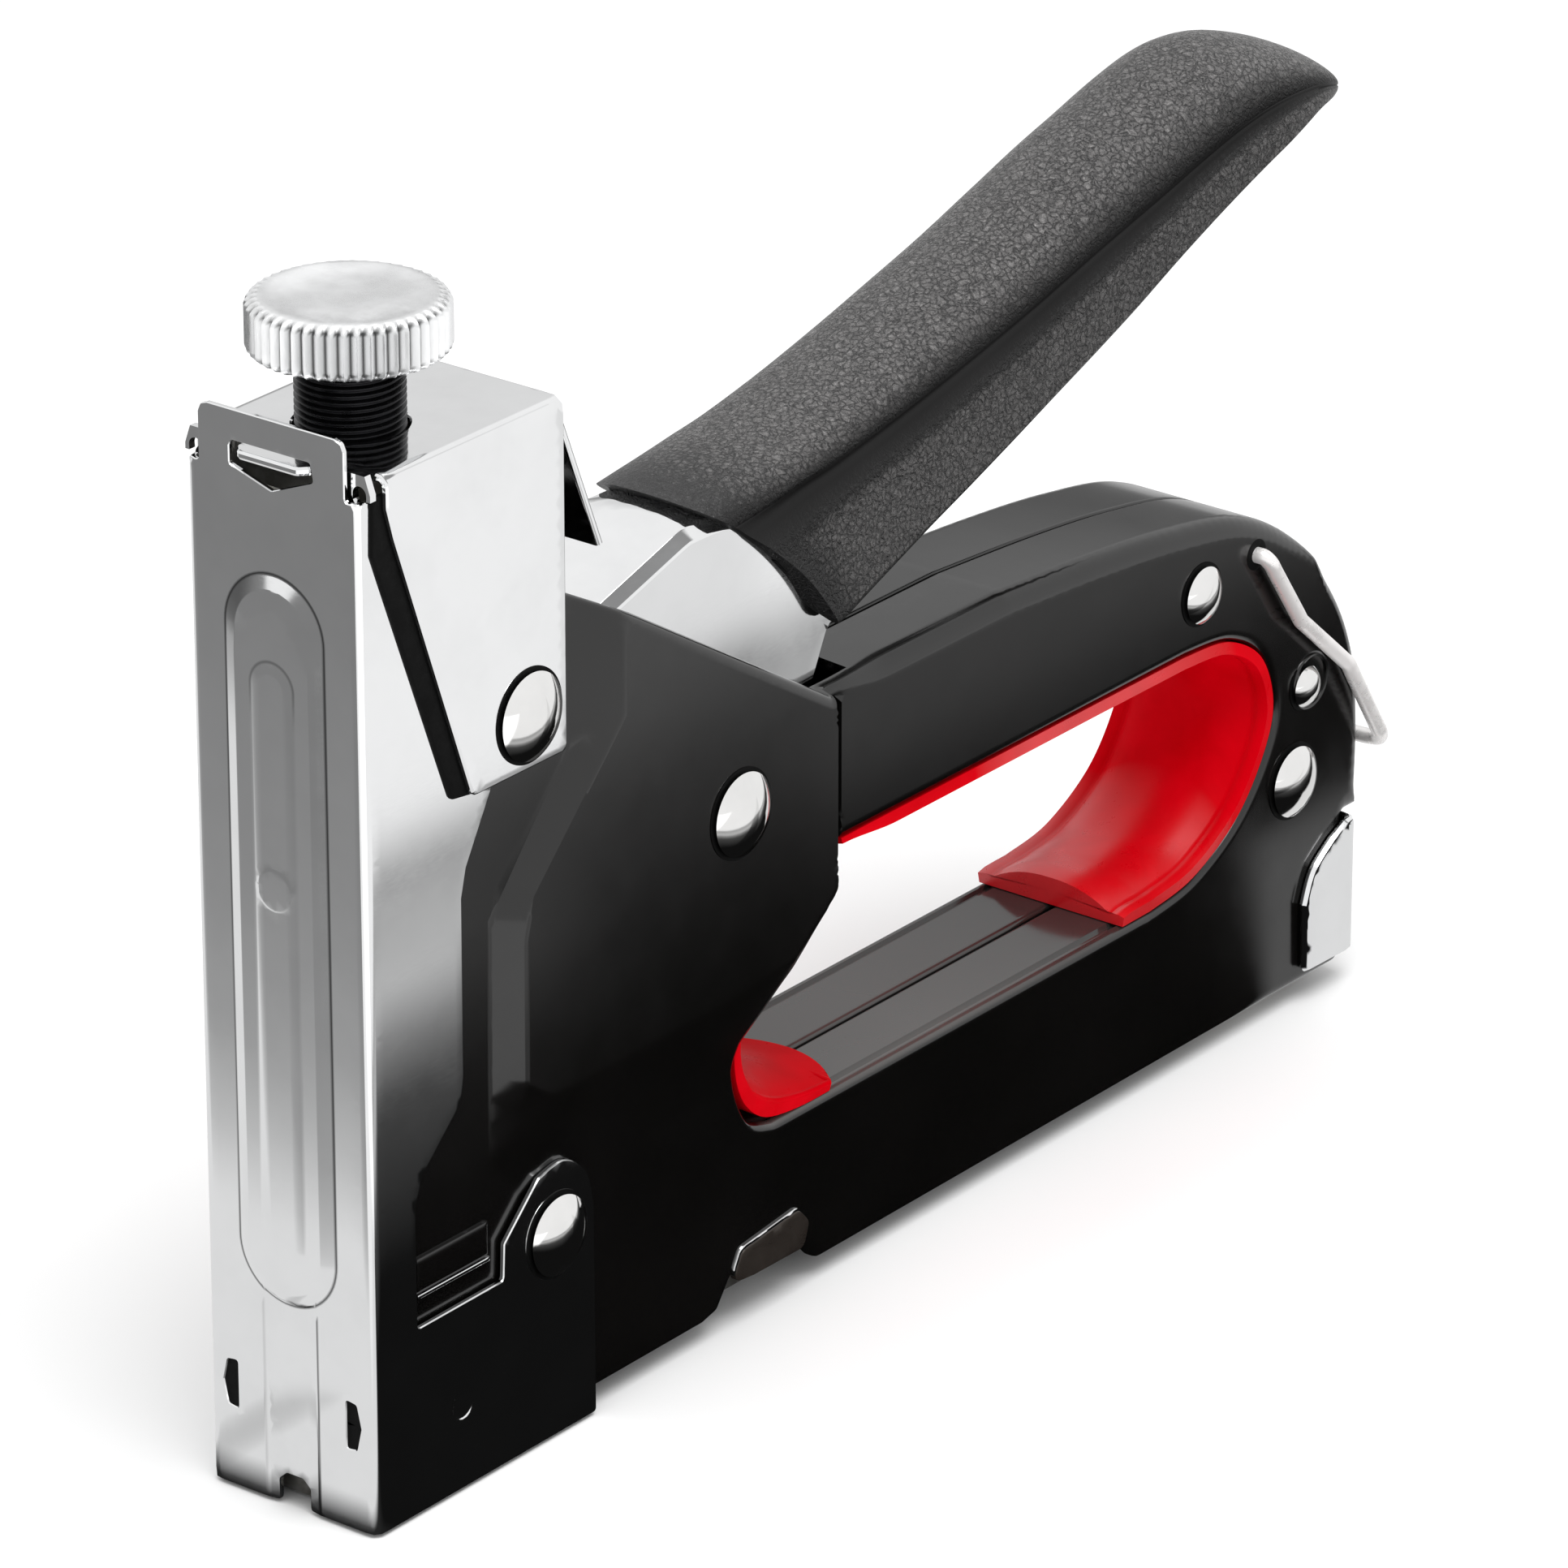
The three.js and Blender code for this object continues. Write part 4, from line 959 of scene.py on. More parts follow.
def nose_cover():
    fold = Fold([(0, 0), (COVER_HALF, 0), (COVER_HALF, 50)], 1.3)
    side = [(36.8, 0), *smooth([(36.7, 25), (35.4, 29.4), (31.6, 32.1), (27.4, 31.5)], 6), (21.6, 26),
            (21.4, 21.8), (7.2, 21.7), (7.2, 36), (8.4, 39.2), (14.8, 45.2), (15.3, 48), (15.4, 68.4),
            (16.2, 71.6), (20.4, 79), (20.4, 96), (1.6, 117)]
    half = [(3.5, 0.0), (3.5, 1.1), (2.6, 2.1), (0.0, 2.1), (0.0, fold.reach(2.0))]
    half += [(z, fold.reach(max(x, 1.6))) for x, z in side]
    half += [(117.0, 9.7), (122.4, 9.7), (123.3, 9.3), (123.6, 8.4), (123.6, 0.0)]
    slot = [(118.2, -5.6), (120.2, -5.2), (120.2, 5.2), (119.6, 5.6), (117.6, 5.6), (115.9, 0)]
    loops = [rounded(mirrored(half), 0.5, 3)]
    for opening in (slot, WINDOW * (1, -1), WINDOW):
        loops.append(rounded(opening, 0.35, 3))
    extra = []
    for offset in (0.25, 0.0, -0.25, -0.9, -1.6, -1.8, -3.45, -3.7, -3.95, -4.5, -5.1):
        half_width = PANEL_HALF + offset
        bottom, top = (PANEL_LOW, PANEL_HIGH) if offset > -3 else (INNER_LOW, INNER_HIGH)
        angle = np.linspace(0, math.pi, 33)
        upper = columns(top + half_width * np.sin(angle), half_width * np.cos(angle))
        lower = columns(bottom - half_width * np.sin(angle), -half_width * np.cos(angle))
        extra.append(dense(np.vstack([upper, lower]), 0.9))
    extra += [circle(radius, 24, (DOT_HEIGHT, 0)) for radius in (2.5, 2.3, 2.1)]
    for radius in (0.7, 1.4, 1.7, 2.0):
        for middle in (-DIMPLE_FROM_MIDDLE, DIMPLE_FROM_MIDDLE):
            extra.append(circle(radius, 20, (DIMPLE_HEIGHT, middle)))
    for offset in (-0.5, -0.25, 0.0, 0.25):
        for sign in (-1, 1):
            extra.append(columns(np.arange(0.6, 27, 0.8), sign * (CHANNEL_HALF + offset)))
    return folded_sheet(loops, fold, lambda along, across, down: columns(down, across, along),
                        COVER_SHEET, 1.1, cover_relief, np.vstack(extra))


def window_shade_plates():
    """Black plates a little behind the face, inside the two windows of the nose: painted shade for the dark inside.
    """
    skin = Skin()
    for sign in (-1, 1):
        outline = WINDOW * (1, sign)
        rings = [skin.add(columns(x, outline[:, 1], outline[:, 0])) for x in (0.36, 0.64)]
        skin.strips(rings)
        for ring in rings:
            skin.fan(ring, skin.points[0 if ring is rings[0] else -1].mean(axis=0))
    return skin


cover_skin = nose_cover()
cover_mesh = make(cover_skin, "nose_cover_skin", CHROME, "body", ("nose_cover",), 30)
set_values(cover_mesh, cover_skin, "shade", cover_shade(np.vstack(cover_skin.points)))
# black plates that paint the shade inside the nose's windows
make(window_shade_plates(), "nose_window_shade", SHADOW_BLACK, "body")


# ---------------------------------------------------------------- cap

def top_cap():
    fold = Fold([(0, 0), (CAP_HALF, 0), (CAP_HALF, 50)], 1.5)
    half = [(-0.6, 0.0), (-0.6, 3.9), (0.6, 5.0), (3.2, 5.0), (3.2, fold.reach(2.0))]
    half += [(x, fold.reach(CAP_TOP - z)) for x, z in ((3.2, 116), (4.3, 112.3), (16.1, 80), (31.4, 80))]
    half += [(31.4, fold.reach(2.0)), (31.4, 0.0)]
    loops = [rounded(mirrored(half), 0.9, 4), circle(6.1, 48, (DRIVE_X, 0))]
    return folded_sheet(loops, fold, lambda along, across, down: columns(along, across, CAP_TOP - down),
                        CAP_SHEET, 1.3, rim=0.3)


def cap_lip():
    """The plate that slopes down behind the cap's roof, over the lever."""
    path = rounded([(28.8, 119.5), (31.4, 119.2), (38.8, 101.0)], 1.6, 6, closed=False)
    half = 11.9
    inner = half - 0.35
    section = [(-half, 0.3), (-inner, 0.0), (0.0, 0.0), (inner, 0.0), (half, 0.3), (half, 0.7), (inner, 1.0),
               (-inner, 1.0), (-half, 0.7)]
    across, inset = np.array(section).T
    skin = Skin()
    skin.loft([sideways(point - out * inset[:, None], across) for point, out in zip(path, left_of(path))])
    return skin


# A black strip along the cap's front edge, between nose cover and cap: painted shade of the gap there.
CAP_GAP_SHADE = rounded([(13.6, 80.2), (18, 79.6), (18, 92), (9, 117.4), (1.9, 117.3), (1.7, 111)], 0.8, 5)
make(top_cap(), "top_cap_skin", CHROME, "body", ("top_cap",), 30)
make(cap_lip(), "top_cap_lip", CHROME, "body", (), 50)
make_plates("cap_gap_shade", SHADOW_BLACK, "body", CAP_GAP_SHADE, 11.1, 11.9)


# ---------------------------------------------------------------- rear catch

def rear_catch():
    fold = Fold([(0, 0), (CATCH_HALF, 0), (CATCH_HALF, 20)], 2.0)
    cheek = [(169.7, 3.6), *smooth([(169.4, 12.4), (171.2, 16.4), (175, 19.2)], 6)]
    half = [(3.4, 0.0), (3.4, fold.reach(2.2))]
    half += [(z, fold.reach(CATCH_REAR - x)) for x, z in cheek]
    half += [(20.5, fold.reach(2.4)), (20.5, 0.0)]
    return folded_sheet([rounded(mirrored(half), 0.9, 4)], fold,
                        lambda along, across, down: columns(CATCH_REAR - down, across, along),
                        1.1, 1.2, rim=0.49)


make(rear_catch(), "rear_catch_skin", CHROME, "magazine", ("rear_catch",), 30)


# ---------------------------------------------------------------- knob and screw

def upright(flat, height):
    """Rings around the drive's axis."""
    return np.stack([DRIVE_X + flat[:, 0], flat[:, 1], np.full(len(flat), height)], axis=1)


def force_knob():
    skin = Skin()
    points_per_tooth = 6
    count = KNOB_TEETH * points_per_tooth
    angle = np.arange(count) * 2 * math.pi / count
    wave = 0.5 - 0.5 * np.cos(angle * KNOB_TEETH)
    flute = 0.8 * np.clip(wave, 0, 1) ** 0.8

    def ring(radius, height, depth):
        r = radius - flute * depth
        return skin.add(upright(np.stack([r * np.cos(angle), r * np.sin(angle)], axis=1), height))

    top, bottom = KNOB_TOP, KNOB_BOTTOM
    sections = [(SCREW_RADIUS - 0.3, bottom, 0.0), (9.2, bottom, 0.0), (10.1, bottom + 0.25, 0.6),
                (KNOB_RADIUS - 0.1, bottom + 0.7, 1.0), (KNOB_RADIUS, bottom + 1.1, 1.0),
                (KNOB_RADIUS, top - 1.1, 1.0), (KNOB_RADIUS - 0.12, top - 0.75, 1.0), (10.2, top - 0.3, 0.7),
                (9.55, top - 0.05, 0.15), (9.2, top, 0.0), (8.6, top, 0.0), (8.2, top - 0.1, 0.0),
                (5.5, top - 0.14, 0.0), (2.5, top - 0.1, 0.0)]
    rings = [ring(*section) for section in sections]
    for one, other in zip(rings, rings[1:]):
        skin.strip(one, other)
    skin.fan(rings[-1], (DRIVE_X, 0, top - 0.1))
    skin.fan(rings[0], (DRIVE_X, 0, bottom))
    return skin


def force_screw(low, high):
    """The screw's thread, wound as a ridge along its length."""
    skin = Skin()
    around = 48
    profile = [(0.0, 0.0), (0.2, 0.0), (0.5, 0.5), (0.68, 0.5)]
    rows = []
    turns = int((high - low) / THREAD_STEP) - 1
    steps = turns * around
    for step in range(steps + 1):
        angle = step * 2 * math.pi / around
        row = []
        for share, depth in profile:
            radius = SCREW_RADIUS - 0.85 * depth
            height = low + 0.2 + (step / around + share) * THREAD_STEP
            row.append((DRIVE_X + radius * math.cos(angle), radius * math.sin(angle), height))
        row.append((DRIVE_X + SCREW_RADIUS * math.cos(angle), SCREW_RADIUS * math.sin(angle),
                    low + 0.2 + (step / around + 1) * THREAD_STEP))
        rows.append(row)
    skin.grid(rows)
    core = SCREW_RADIUS - 0.7
    lathe(skin, [(core - 0.6, low), (core, low + 0.6), (core, high)], upright)
    return skin


def knob_shade(points):
    """Painted shade in the rim's flutes."""
    reach = np.hypot(points[:, 0] - DRIVE_X, points[:, 1])
    on_rim = ramp(reach, 9.6, 9.8) * ramp(KNOB_TOP - points[:, 2], 0.1, 0.6)
    return 0.85 * on_rim * (1 - ramp(reach, 9.9, 10.12))


knob_skin = force_knob()
knob_mesh = make(knob_skin, "force_knob_skin", KNOB_METAL, "knob", ("adjuster_knob",), 42)
set_values(knob_mesh, knob_skin, "shade", knob_shade(np.vstack(knob_skin.points)))
screw_low, screw_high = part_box("adjuster_screw")
make(force_screw(screw_low.z / MM, KNOB_BOTTOM + 0.5), "force_screw_skin", DARK_STEEL, "knob",
     ("adjuster_screw",), 40)


# ---------------------------------------------------------------- rivets

RIVETS = {
    "cap_rivet": (25.1, 86.1, 4.9, 1.9, 12.8), "pivot_rivet": (60.4, 62.7, 4.8, 1.9, 12.9),
    "nose_rivet": (30.3, 23.8, 4.6, 1.8, 11.5), "rear_upper_rivet": (148.7, 58.6, 3.4, 1.5, 10.5),
    "rear_lower_rivet": (167.8, 28.8, 4.3, 1.7, 10.5), "rear_small_rivet": (169.8, 40.2, 2.5, 1.3, 10.5),
}


def rivet(x, z, radius, dome, face):
    skin = Skin()
    base = face + 0.3
    for side in (-1, 1):

        def place(flat, height, side=side):
            return np.stack([x + flat[:, 0], np.full(len(flat), side * height), z + flat[:, 1]], axis=1)

        ball = (radius ** 2 + dome ** 2) / (2 * dome)
        profile = [(2.0, 6.0), (2.0, base), (radius - 0.25, base), (radius - 0.05, base + 0.08)]
        for share in (1.0, 0.93, 0.82, 0.68, 0.52, 0.34, 0.16):
            r = radius * share
            fall = (ball - math.sqrt(ball ** 2 - r * r)) / dome
            profile.append((r, base + 0.2 + (dome - 0.2) * (1 - fall)))
        lathe(skin, profile, place, 72)
    lathe(skin, [(1.98, -6.2), (1.98, 6.2)], lambda flat, height: np.stack(
        [x + flat[:, 0], np.full(len(flat), height), z + flat[:, 1]], axis=1), 40)
    return skin


def washer_ring(x, z, radius, face, side):
    """A dark pressed ring around a rivet's head."""
    skin = Skin()

    def place(flat, height):
        return np.stack([x + flat[:, 0], np.full(len(flat), side * height), z + flat[:, 1]], axis=1)

    lathe(skin, [(radius - 0.6, face - 0.1), (radius - 0.5, face + 0.22), (radius - 0.2, face + 0.28),
                 (radius, face + 0.15), (radius + 0.1, face - 0.1)], place, 64, close_ends=False)
    return skin


def dark_rings(x, z, radius, dome, face):
    """Black rings painted as the shadow of the dish that each head sits in, on both sides."""
    skin = Skin()
    for side in (-1, 1):

        def place(flat, height, side=side):
            return np.stack([x + flat[:, 0], np.full(len(flat), side * height), z + flat[:, 1]], axis=1)

        lathe(skin, [(radius - 1.0, face - 0.3), (radius - 0.9, face + 0.1), (radius + 0.45, face + 0.1),
                     (radius + 0.5, face - 0.3)], place, 72, close_ends=False)
    return skin


for rivet_name, measures in RIVETS.items():
    make(rivet(*measures), rivet_name + "_skin", RIVET_STEEL, "body", (rivet_name,), 50)
    make(dark_rings(*measures), rivet_name + "_dish", SHADOW_BLACK, "body", (), 50)
for side, label in ((-1, "right"), (1, "left")):
    small = RIVETS["rear_small_rivet"]
    make(washer_ring(small[0] + 1.2, small[1] + 0.3, 3.5, BODY_HALF, side), "small_rivet_ring_" + label,
         PAINT, "body")


# ---------------------------------------------------------------- locking bail

def bail():
    skin = Skin()
    bends = rounded([(159.5, 60), (166.5, 49.9), (176.4, 41.2), (184.0, 29.2)], 3.5, 6, closed=False)
    straight = dense(bends, 1.2, closed=False)
    hook = [(159.5, 8.6, 60.0), (159.5, 10.6, 60.0), (159.6, 11.6, 59.9)]
    side = [(x, BAIL_HALF, z) for x, z in straight[1:-1]]
    rear = [(184.0, 11.6, 29.2), (184.3, 10.4, 28.8), (184.4, 8.5, 28.6), (184.4, 3, 28.6)]
    left = smooth(hook + side + rear, 3)
    path = left + [(x, -y, z) for x, y, z in reversed(left)]
    tube(skin, path, BAIL_WIRE, 20)
    return skin


def hook_hole_shades():
    """Black discs on the body's sides: painted shade of the holes that the bail's ends turn in."""
    angle = np.linspace(0, 2 * math.pi, 25)[:-1]
    outline = np.stack([159.5 + 1.9 * np.cos(angle), 60.0 + 1.9 * np.sin(angle)], axis=1)
    return [flat_plate(outline, 9.6, 10.56, side, 0.1, 0.6) for side in (-1, 1)]


# black discs painted as the shade of the bail's holes
for label, plate in zip(("right", "left"), hook_hole_shades()):
    make(plate, "bail_hole_shade_" + label, SHADOW_BLACK, "body")
make(bail(), "lock_bail_skin", WIRE_STEEL, "bail", ("lock_bail",), 60)


# ---------------------------------------------------------------- lever

def lever_channel():
    fold = Fold([(0, 0), (3.4, 0.3), (6.7, 1.3), (LEVER_HALF, 2.5), (LEVER_HALF, 40)], 0.5)
    top = np.array([(31, 87.8), (42, 91.3), (58, 96.0), (62, 95.9), (70, 95.2), (76, 95.6), (81.5, 96.4),
                    (90.7, 98.4), (100, 101.0), (120, 106.8), (150, 112.0)])

    def crown(x):
        return np.interp(x, top[:, 0], top[:, 1])

    lower = [(31, 72), (31, 56), (40, 54.6), (54, 55), (66, 57.5), (79.2, 70), (82, 75.7), (88, 81),
             (126, 96.5), (150, 103.6)]
    start = fold.reach(2.6)
    half = [(31.0, 0.0), (31.0, start)]
    half += [(x, fold.reach(crown(x) - z)) for x, z in lower]
    half += [(150, start), (150, 0.0)]

    def place(along, across, down):
        return np.stack([along, across, crown(along) - down], axis=1)

    return folded_sheet([rounded(mirrored(half), 1.2, 4)], fold, place, LEVER_SHEET, 1.6, rim=0.3)


BEAK = [(7.7, 54.4), (9.8, 52.9), (17.4, 52.9), (34, 54.2), (36, 56), (36, 79), (34, 77), (27, 66), (17.4, 58.3),
        (9.8, 58.3), (7.7, 56.8)]
make(lever_channel(), "lever_skin", CHROME, "lever", ("lever_channel",), 32)
for side, label in ((-1, "right"), (1, "left")):
    make(flat_plate(BEAK, 4.7, 6.3, side), "lever_beak_" + label, CHROME, "lever")


# ---------------------------------------------------------------- grip

GRIP_TOP = [(59.4, 97.0), (64, 97.4), (70, 97.8), (76, 98.3), (81.5, 99.1), (90.7, 101.1), (100.1, 103.7),
            (109.5, 106.5), (119, 109.3), (128.6, 112.6), (136, 115.2), (143, 117.2), (150, 119.2),
            (157, 120.4), (163.4, 119.9), (169, 118.3), (174, 116.2), (178, 113.9), (181, 111.6), (182.9, 109.4)]
GRIP_CREASE = [(64.8, 93.3), (68, 93.7), (71.5, 94.2), (76, 94.9), (81.5, 95.5), (90.7, 97.0), (100.1, 98.8),
               (109.5, 100.8), (119, 103.0), (128.6, 105.5), (136, 107.3), (143, 109.0), (150, 110.8),
               (157, 112.4), (163.4, 113.3), (169, 113.3), (174, 112.6), (178, 111.4), (181, 110.1), (182.7, 109.0)]
GRIP_BOTTOM = [(81.0, 77.3), (82.6, 77.7), (84.4, 78.4), (87, 79.4), (91, 80.9), (97.7, 83.4), (104, 85.6),
               (112, 88.5), (120, 91.5), (128.6, 94.7), (136, 97.6), (143, 100.6), (150, 103.4),
               (157, 106.0), (163.4, 108.2), (168, 109.6), (172, 110.4), (176, 110.2), (179.5, 109.4),
               (182.3, 108.5)]
GRIP_ROUND_FROM = 163.0
GRIP_END = 183.4
LIP_BULGE = 1.7


def grip():
    """The moulded grip: a rounded back, a crease along each side and a flared skirt."""
    skin = Skin()
    steps = 5
    top, crease, bottom = (np.array(smooth(line, steps)) for line in (GRIP_TOP, GRIP_CREASE, GRIP_BOTTOM))
    # shade is painted shade: 1 on the back's crest, falling to 0.15 at the crease, 0 in the valley and up to 0.55
    # on the skirt
    rows, grain, shade = [], [], []
    for a, b, c in zip(top, crease, bottom):
        beyond = max(0.0, (c[0] - GRIP_ROUND_FROM) / (GRIP_END - GRIP_ROUND_FROM))
        width = math.sqrt(max(1 - beyond ** 2, 0.01))
        mouth = 1 - float(ramp(b[0], 62, 76))
        valley_depth = 0.5 * (1 - float(ramp(b[0], 150, 172))) * (1 - mouth)
        crest = (9.35 - 0.3 * mouth) * width
        skirt = GRIP_HALF * width - 0.1
        section = []
        for u in np.linspace(0, 1, 15):
            angle = u * math.pi / 2
            p = a + (b - a) * (1 - math.cos(angle)) * 0.95
            section.append((p[0], crest * math.sin(angle), p[1], float(ramp(1 - u, 0.0, 0.12)),
                            1 - 0.85 * float(ramp(u, 0.5, 0.9))))
        bulge_ahead = np.array([LIP_BULGE * (1 - float(ramp(c[0], 81, 96))), 0.0])
        for u, inset in ((0.01, 0.6), (0.06, 1.0), (0.12, 0.6)):
            p = b + (c - b) * u + bulge_ahead * math.sin(u * math.pi)
            section.append((p[0], crest - valley_depth * inset * width, p[1], 0.0, 0.0))
        for u in np.linspace(0.2, 0.96, 12):
            p = b + (c - b) * u + bulge_ahead * math.sin(u * math.pi)
            bulge = 0.6 * math.sin(min(u * 1.5, 1) * math.pi / 2) + 0.4 * u
            section.append((p[0], crest + (skirt - crest) * bulge, p[1], float(ramp(u, 0.15, 0.35)),
                            0.55 * float(ramp(u, 0.12, 0.4))))
        section.append((c[0], skirt - 0.2, c[1] + 0.05, 0.5, 0.3))
        section.append((c[0], skirt - 0.7, c[1] - 0.05, 0.2, 0.1))
        section.append((c[0], skirt - 1.5, c[1] + 0.05, 0.1, 0.0))
        under = 1 - float(ramp(c[0], 158, 168))
        inner = max(skirt - 2.2, 0.3)
        for u in (0.02, 0.3, 0.6):
            q = c + (a - c) * u * under * 0.8 + bulge_ahead * math.sin(0.8 * u * math.pi)
            section.append((q[0], inner, q[1] + 0.15, 0.0, 0.0))
        q = c + (a - c) * 0.6 * under * 0.8
        section.append((q[0], 0.0, q[1] + 0.3 * under, 0.0, 0.0))
        section = np.array(section)
        mirror = section[1:-1][::-1].copy()
        mirror[:, 1] *= -1
        full = np.vstack([section, mirror])
        rows.append(full[:, :3])
        grain.append(full[:, 3] * (1 - 0.6 * mouth))
        shade.append(full[:, 4])
    numbers = skin.grid(rows, closed_rows=True)
    for ring, row in ((numbers[0], rows[0]), (numbers[-1], rows[-1])):
        skin.fan(ring, (row[0] + row[len(row) // 2]) / 2)
    return skin, np.concatenate(grain), np.concatenate(shade)


grip_skin, grip_grain, grip_shade = grip()
grip_mesh = make(grip_skin, "grip_skin", LEATHER, "lever", ("handle_grip",), 60)
set_values(grip_mesh, grip_skin, "grain", grip_grain)
set_values(grip_mesh, grip_skin, "shade", grip_shade)


# ---------------------------------------------------------------- hand-hole liners

def liner_section(half, edge, crown, beads=0.4):
    """How far the liner's face stands off the hole's edge at each width."""
    across = np.concatenate([np.linspace(-half, -half + 2.4, 7), np.linspace(-half + 3.4, half - 3.4, 13),
                             np.linspace(half - 2.4, half, 7)])
    share = np.clip(np.abs(across) / (half - 2.0), 0, 1)
    off = edge + (crown - edge) * (1 - share ** 2.4)
    out = np.abs(across) - (half - 2.0)
    bead = beads * 0.55 * np.clip(np.sin(np.clip(out / 1.9, 0, 1) * math.pi), 0, 1)
    return across, off + bead


def grip_liner():
    """A crowned strip along the rear of the hand hole and under the arm."""
    hole = [(134.6, 21.9), (140, 21.95), *smooth([(140, 21.95), (148.4, 23.2), (156.9, 27.7),
            (162.2, 34.2), (163.9, 40.2),
            (161.2, 46.7), (154.5, 50.7), (146, 51.6)], 8)[1:], (130, 51.65), (100, 51.65), (81.6, 51.65)]
    path = dense(hole, 1.6, closed=False)
    step = np.gradient(path, axis=0)
    step /= np.linalg.norm(step, axis=1)[:, None]
    into = np.stack([-step[:, 1], step[:, 0]], axis=1)
    length = np.concatenate([[0], np.cumsum(np.linalg.norm(np.diff(path, axis=0), axis=1))])
    total = length[-1]
    skin = Skin()
    rows = []
    for point, normal, at in zip(path, into, length):
        strip = ramp(at, 44, 62)
        taper = ramp(total - at, 0.0, 10)
        edge = (1.45 - 0.1 * strip) * (0.45 + 0.55 * taper)
        crown = (3.9 - 1.9 * strip) * (0.35 + 0.65 * taper)
        if at < 1.5:
            crown -= 0.5 * (1 - at / 1.5)
            edge -= 0.3 * (1 - at / 1.5)
        across, off = liner_section(10.45, edge, crown)
        face = np.stack([point[0] + normal[0] * off, across, point[1] + normal[1] * off], axis=1)
        back_y = np.array([10.25, 9.4, 0, -9.4, -10.25])
        back = columns(point[0], back_y, point[1])
        rows.append(np.vstack([face, back]))
    numbers = skin.grid(rows, closed_rows=True)
    for ring, row in ((numbers[0], rows[0]), (numbers[-1], rows[-1])):
        skin.fan(ring, np.mean(row, axis=0))
    return skin


def front_liner():
    """A scooped wedge that fills the hole's front lower corner, longest along its middle."""
    steps = 5
    at_side = np.array(smooth([(63.9, 35.6), (63.8, 32.2), (64.5, 29.0), (66.3, 26.1), (69.8, 23.9),
                               (75.1, 22.8), (80.0, 22.6)], steps))
    at_middle = np.array(smooth([(65.0, 35.8), (65.9, 32.8), (67.8, 29.8), (70.8, 27.2), (75.2, 25.0), (80.2, 23.2),
                                 (85.3, 22.1)], steps))
    hole = np.array(smooth([(63.1, 35.0), (62.8, 31.6), (63.4, 28.2), (65.1, 25.2), (68.4, 22.8), (74.0, 21.85),
                            (79.8, 21.75)], steps))
    edge = np.linspace(9.0, 10.2, 6)
    across = np.concatenate([-edge[::-1], np.linspace(-8.2, 8.2, 15), edge])
    bulge = (1 - (across / 10.2) ** 2)[:, None]
    rim = 0.2 * np.sin(np.clip((np.abs(across) - 9.2) / 1.0, 0, 1) * math.pi)
    ahead = np.gradient(at_side, axis=0)
    ahead /= np.linalg.norm(ahead, axis=1)[:, None]
    skin = Skin()
    rows = []
    for side_point, middle_point, back, step in zip(at_side, at_middle, hole, ahead):
        flat = side_point + (middle_point - side_point) * bulge
        flat = flat + np.array([-step[1], step[0]]) * rim[:, None]
        face = np.stack([flat[:, 0], across, flat[:, 1]], axis=1)
        rest = np.array([(back[0], y, back[1]) for y in (10.1, 0.0, -10.1)])
        rows.append(np.vstack([face, rest]))
    numbers = skin.grid(rows, closed_rows=True)
    for ring, row in ((numbers[0], rows[0]), (numbers[-1], rows[-1])):
        skin.fan(ring, np.mean(row, axis=0))
    return skin


make(grip_liner(), "grip_liner_skin", RED, "body", ("grip_liner",), 60)
make(front_liner(), "front_liner_skin", RED, "body", ("front_liner",), 60)


# ---------------------------------------------------------------- carried-over CAD nodes

for subpart in frame["record"]["subparts"]:
    shown = NODES[subpart["node"]]
    shown.data.materials.clear()
    shown.data.materials.append(SLOT_MATERIALS[subpart["material_slot"]])
    if not shown.hide_render:
        add_bevel(shown, 0.18)


# ---------------------------------------------------------------- floor, light and camera

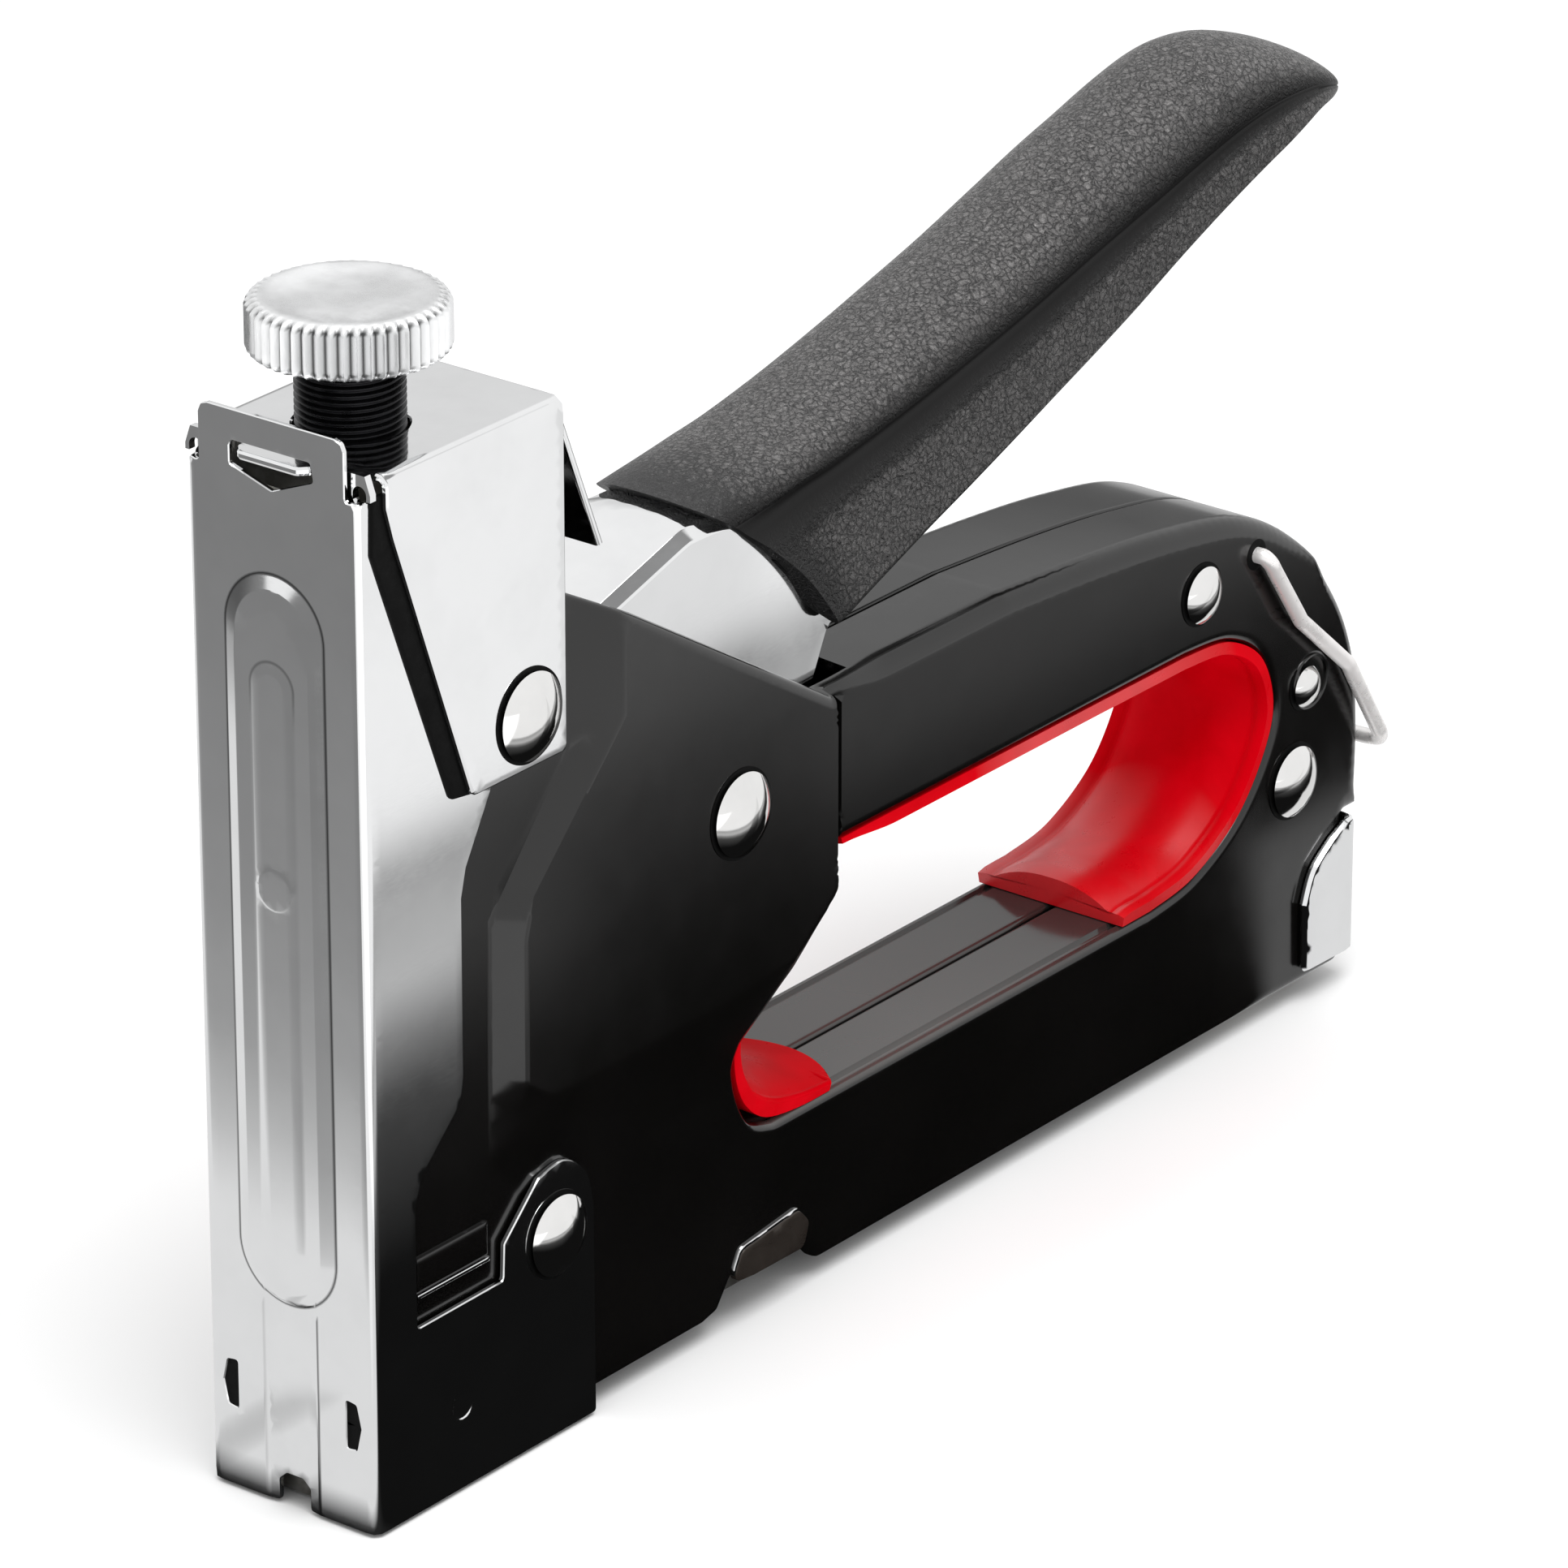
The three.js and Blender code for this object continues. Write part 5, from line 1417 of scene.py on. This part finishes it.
def floor_material():
    """Pale diffuse floor. Glossy rays see a glowing painted reflection map instead: dark close to the tool, with
    brighter patches placed for the metal's reflections.
    """
    nodes = new_material("floor")
    shader = nodes.last
    tone = nodes.colours(nodes.noise(60, 2, 0.5), (0.3, (0.88, 0.88, 0.88)), (0.7, (0.9, 0.9, 0.9)))
    nodes.tree.links.new(tone, shader.inputs["Base Color"])
    shader.inputs["Roughness"].default_value = 0.9
    shader.inputs["Specular IOR Level"].default_value = 0.0
    separate = nodes.tree.nodes.new("ShaderNodeSeparateXYZ")
    nodes.tree.links.new(nodes.place, separate.inputs[0])
    x, y = separate.outputs[0], separate.outputs[1]
    beside = nodes.math("SUBTRACT", nodes.math("MULTIPLY", y, -1.0), 0.012)
    grey = {level: (level,) * 3 for level in (0.006, 0.02, 0.06, 0.22, 0.28, 0.36, 0.52, 0.78, 0.95, 1.3)}
    side = nodes.colours(nodes.spread(beside, 0.0, 0.2, 0.0, 1.0), (0.2, grey[0.006]), (0.34, grey[0.06]),
                         (0.39, grey[0.22]), (0.44, grey[0.52]), (0.54, grey[0.36]), (0.6, grey[0.95]))
    seen_at = nodes.math("SUBTRACT", x, nodes.math("MULTIPLY", beside, 1.286))
    rear = nodes.math("MULTIPLY", nodes.spread(seen_at, 0.158, 0.162, 0.0, 1.0),
                      nodes.spread(beside, 0.027, 0.032, 1.0, 0.0))
    side = nodes.mix(rear, side, grey[0.78])
    under_head = nodes.math("MULTIPLY", nodes.spread(seen_at, 0.018, 0.022, 0.0, 0.75),
                            nodes.spread(seen_at, 0.066, 0.072, 1.0, 0.0))
    under_head = nodes.math("MULTIPLY", under_head, nodes.spread(beside, 0.085, 0.115, 1.0, 0.2))
    side = nodes.mix(under_head, side, grey[0.006])
    left = nodes.spread(y, 0.012, 0.02, 0.0, 1.0)
    side = nodes.mix(left, side, grey[0.78])
    ahead = nodes.math("MULTIPLY", x, -1.0)
    front = nodes.colours(nodes.spread(ahead, 0.0, 0.25, 0.0, 1.0), (0.03, grey[0.02]), (0.05, grey[0.78]),
                          (0.235, grey[0.78]), (0.3, grey[0.52]), (0.37, grey[0.36]), (0.5, grey[0.28]),
                          (0.8, grey[0.22]))
    is_front = nodes.math("MAXIMUM", nodes.spread(ahead, 0.02, 0.03, 0.0, 1.0), nodes.math(
        "MULTIPLY", nodes.spread(ahead, 0.002, 0.006, 0.0, 1.0), nodes.spread(y, 0.012, 0.02, 1.0, 0.0)))
    far_right = nodes.math("MULTIPLY", nodes.spread(y, -0.03, -0.018, 1.0, 0.0),
                           nodes.spread(ahead, 0.03, 0.05, 0.0, 1.0))
    front = nodes.mix(far_right, front, grey[0.95])
    painted_reflection = nodes.mix(is_front, side, front)
    bright = nodes.math("MULTIPLY", nodes.spread(beside, 0.065, 0.085, 0.0, 1.0),
                        nodes.spread(ahead, 0.0, 0.006, 0.0, 1.0))
    painted_reflection = nodes.mix(bright, painted_reflection, grey[1.3])
    # glossy rays see the map as emission: painted reflections in the metal and paint
    light_path = nodes.tree.nodes.new("ShaderNodeLightPath")
    emission = nodes.tree.nodes.new("ShaderNodeEmission")
    nodes.tree.links.new(painted_reflection, emission.inputs["Color"])
    mixer = nodes.tree.nodes.new("ShaderNodeMixShader")
    nodes.tree.links.new(light_path.outputs["Is Glossy Ray"], mixer.inputs[0])
    nodes.tree.links.new(shader.outputs[0], mixer.inputs[1])
    nodes.tree.links.new(emission.outputs[0], mixer.inputs[2])
    nodes.tree.links.new(mixer.outputs[0], nodes.tree.nodes["Material Output"].inputs["Surface"])
    return nodes.owner


def add_floor():
    half = 3.0
    mesh = bpy.data.meshes.new("floor")
    corners = [(-half, -half), (half, -half), (half, half), (-half, half)]
    mesh.from_pydata([(x, y, -0.0004) for x, y in corners], [], [(0, 1, 2, 3)])
    floor = bpy.data.objects.new("floor", mesh)
    floor.data.materials.append(floor_material())
    bpy.context.scene.collection.objects.link(floor)


def add_light(name, energy, size, place, target):
    data = bpy.data.lights.new(name, "AREA")
    data.energy = energy
    data.size = size
    light = bpy.data.objects.new(name, data)
    light.location = place
    light.rotation_euler = (Vector(target) - Vector(place)).to_track_quat("-Z", "Y").to_euler()
    bpy.context.scene.collection.objects.link(light)


def add_world():
    """White surroundings, dimmer low behind the tool and in one soft patch overhead."""
    world = bpy.data.worlds.new("studio")
    bpy.context.scene.world = world
    world.use_nodes = True
    tree = world.node_tree
    back = tree.nodes["Background"]
    coordinates = tree.nodes.new("ShaderNodeTexCoord")

    def towards(direction, low, high, dim):
        """A factor that falls to dim around a direction."""
        dot = tree.nodes.new("ShaderNodeVectorMath")
        dot.operation = "DOT_PRODUCT"
        dot.inputs[1].default_value = Vector(direction).normalized()
        tree.links.new(coordinates.outputs["Generated"], dot.inputs[0])
        spread = tree.nodes.new("ShaderNodeMapRange")
        spread.inputs["From Min"].default_value = low
        spread.inputs["From Max"].default_value = high
        spread.inputs["To Min"].default_value = 1.0
        spread.inputs["To Max"].default_value = dim
        tree.links.new(dot.outputs["Value"], spread.inputs["Value"])
        return spread.outputs["Result"]

    behind = towards((0.723, 0.562, 0.401), 0.94, 0.985, 0.8)
    overhead = towards((0.49, -0.36, 0.82), 0.95, 0.98, 0.3)
    horizon = towards((0.79, 0.613, 0.0), 0.95, 0.985, 0.35)
    level = 0.95
    for dimming in (behind, overhead, horizon):
        product = tree.nodes.new("ShaderNodeMath")
        product.operation = "MULTIPLY"
        tree.links.new(dimming, product.inputs[0])
        if isinstance(level, float):
            product.inputs[1].default_value = level
        else:
            tree.links.new(level, product.inputs[1])
        level = product.outputs[0]
    back.inputs["Color"].default_value = (1.0, 1.0, 1.0, 1.0)
    tree.links.new(level, back.inputs["Strength"])


def add_camera():
    data = bpy.data.cameras.new("camera")
    data.lens = 221.24
    data.sensor_width = 36
    data.clip_start = 0.01
    camera = bpy.data.objects.new("camera", data)
    camera.location = (-0.68857, -0.59614, 0.47981)
    camera.rotation_euler = (math.radians(66.35), 0, math.radians(-52.15))
    bpy.context.scene.collection.objects.link(camera)
    bpy.context.scene.camera = camera


add_floor()
add_world()
add_light("soft_top", 5.0, 0.6, (0.0, -0.25, 0.85), (0.08, 0, 0.05))
add_camera()
bpy.context.scene.view_settings.view_transform = "Standard"

bpy.context.view_layer.update()
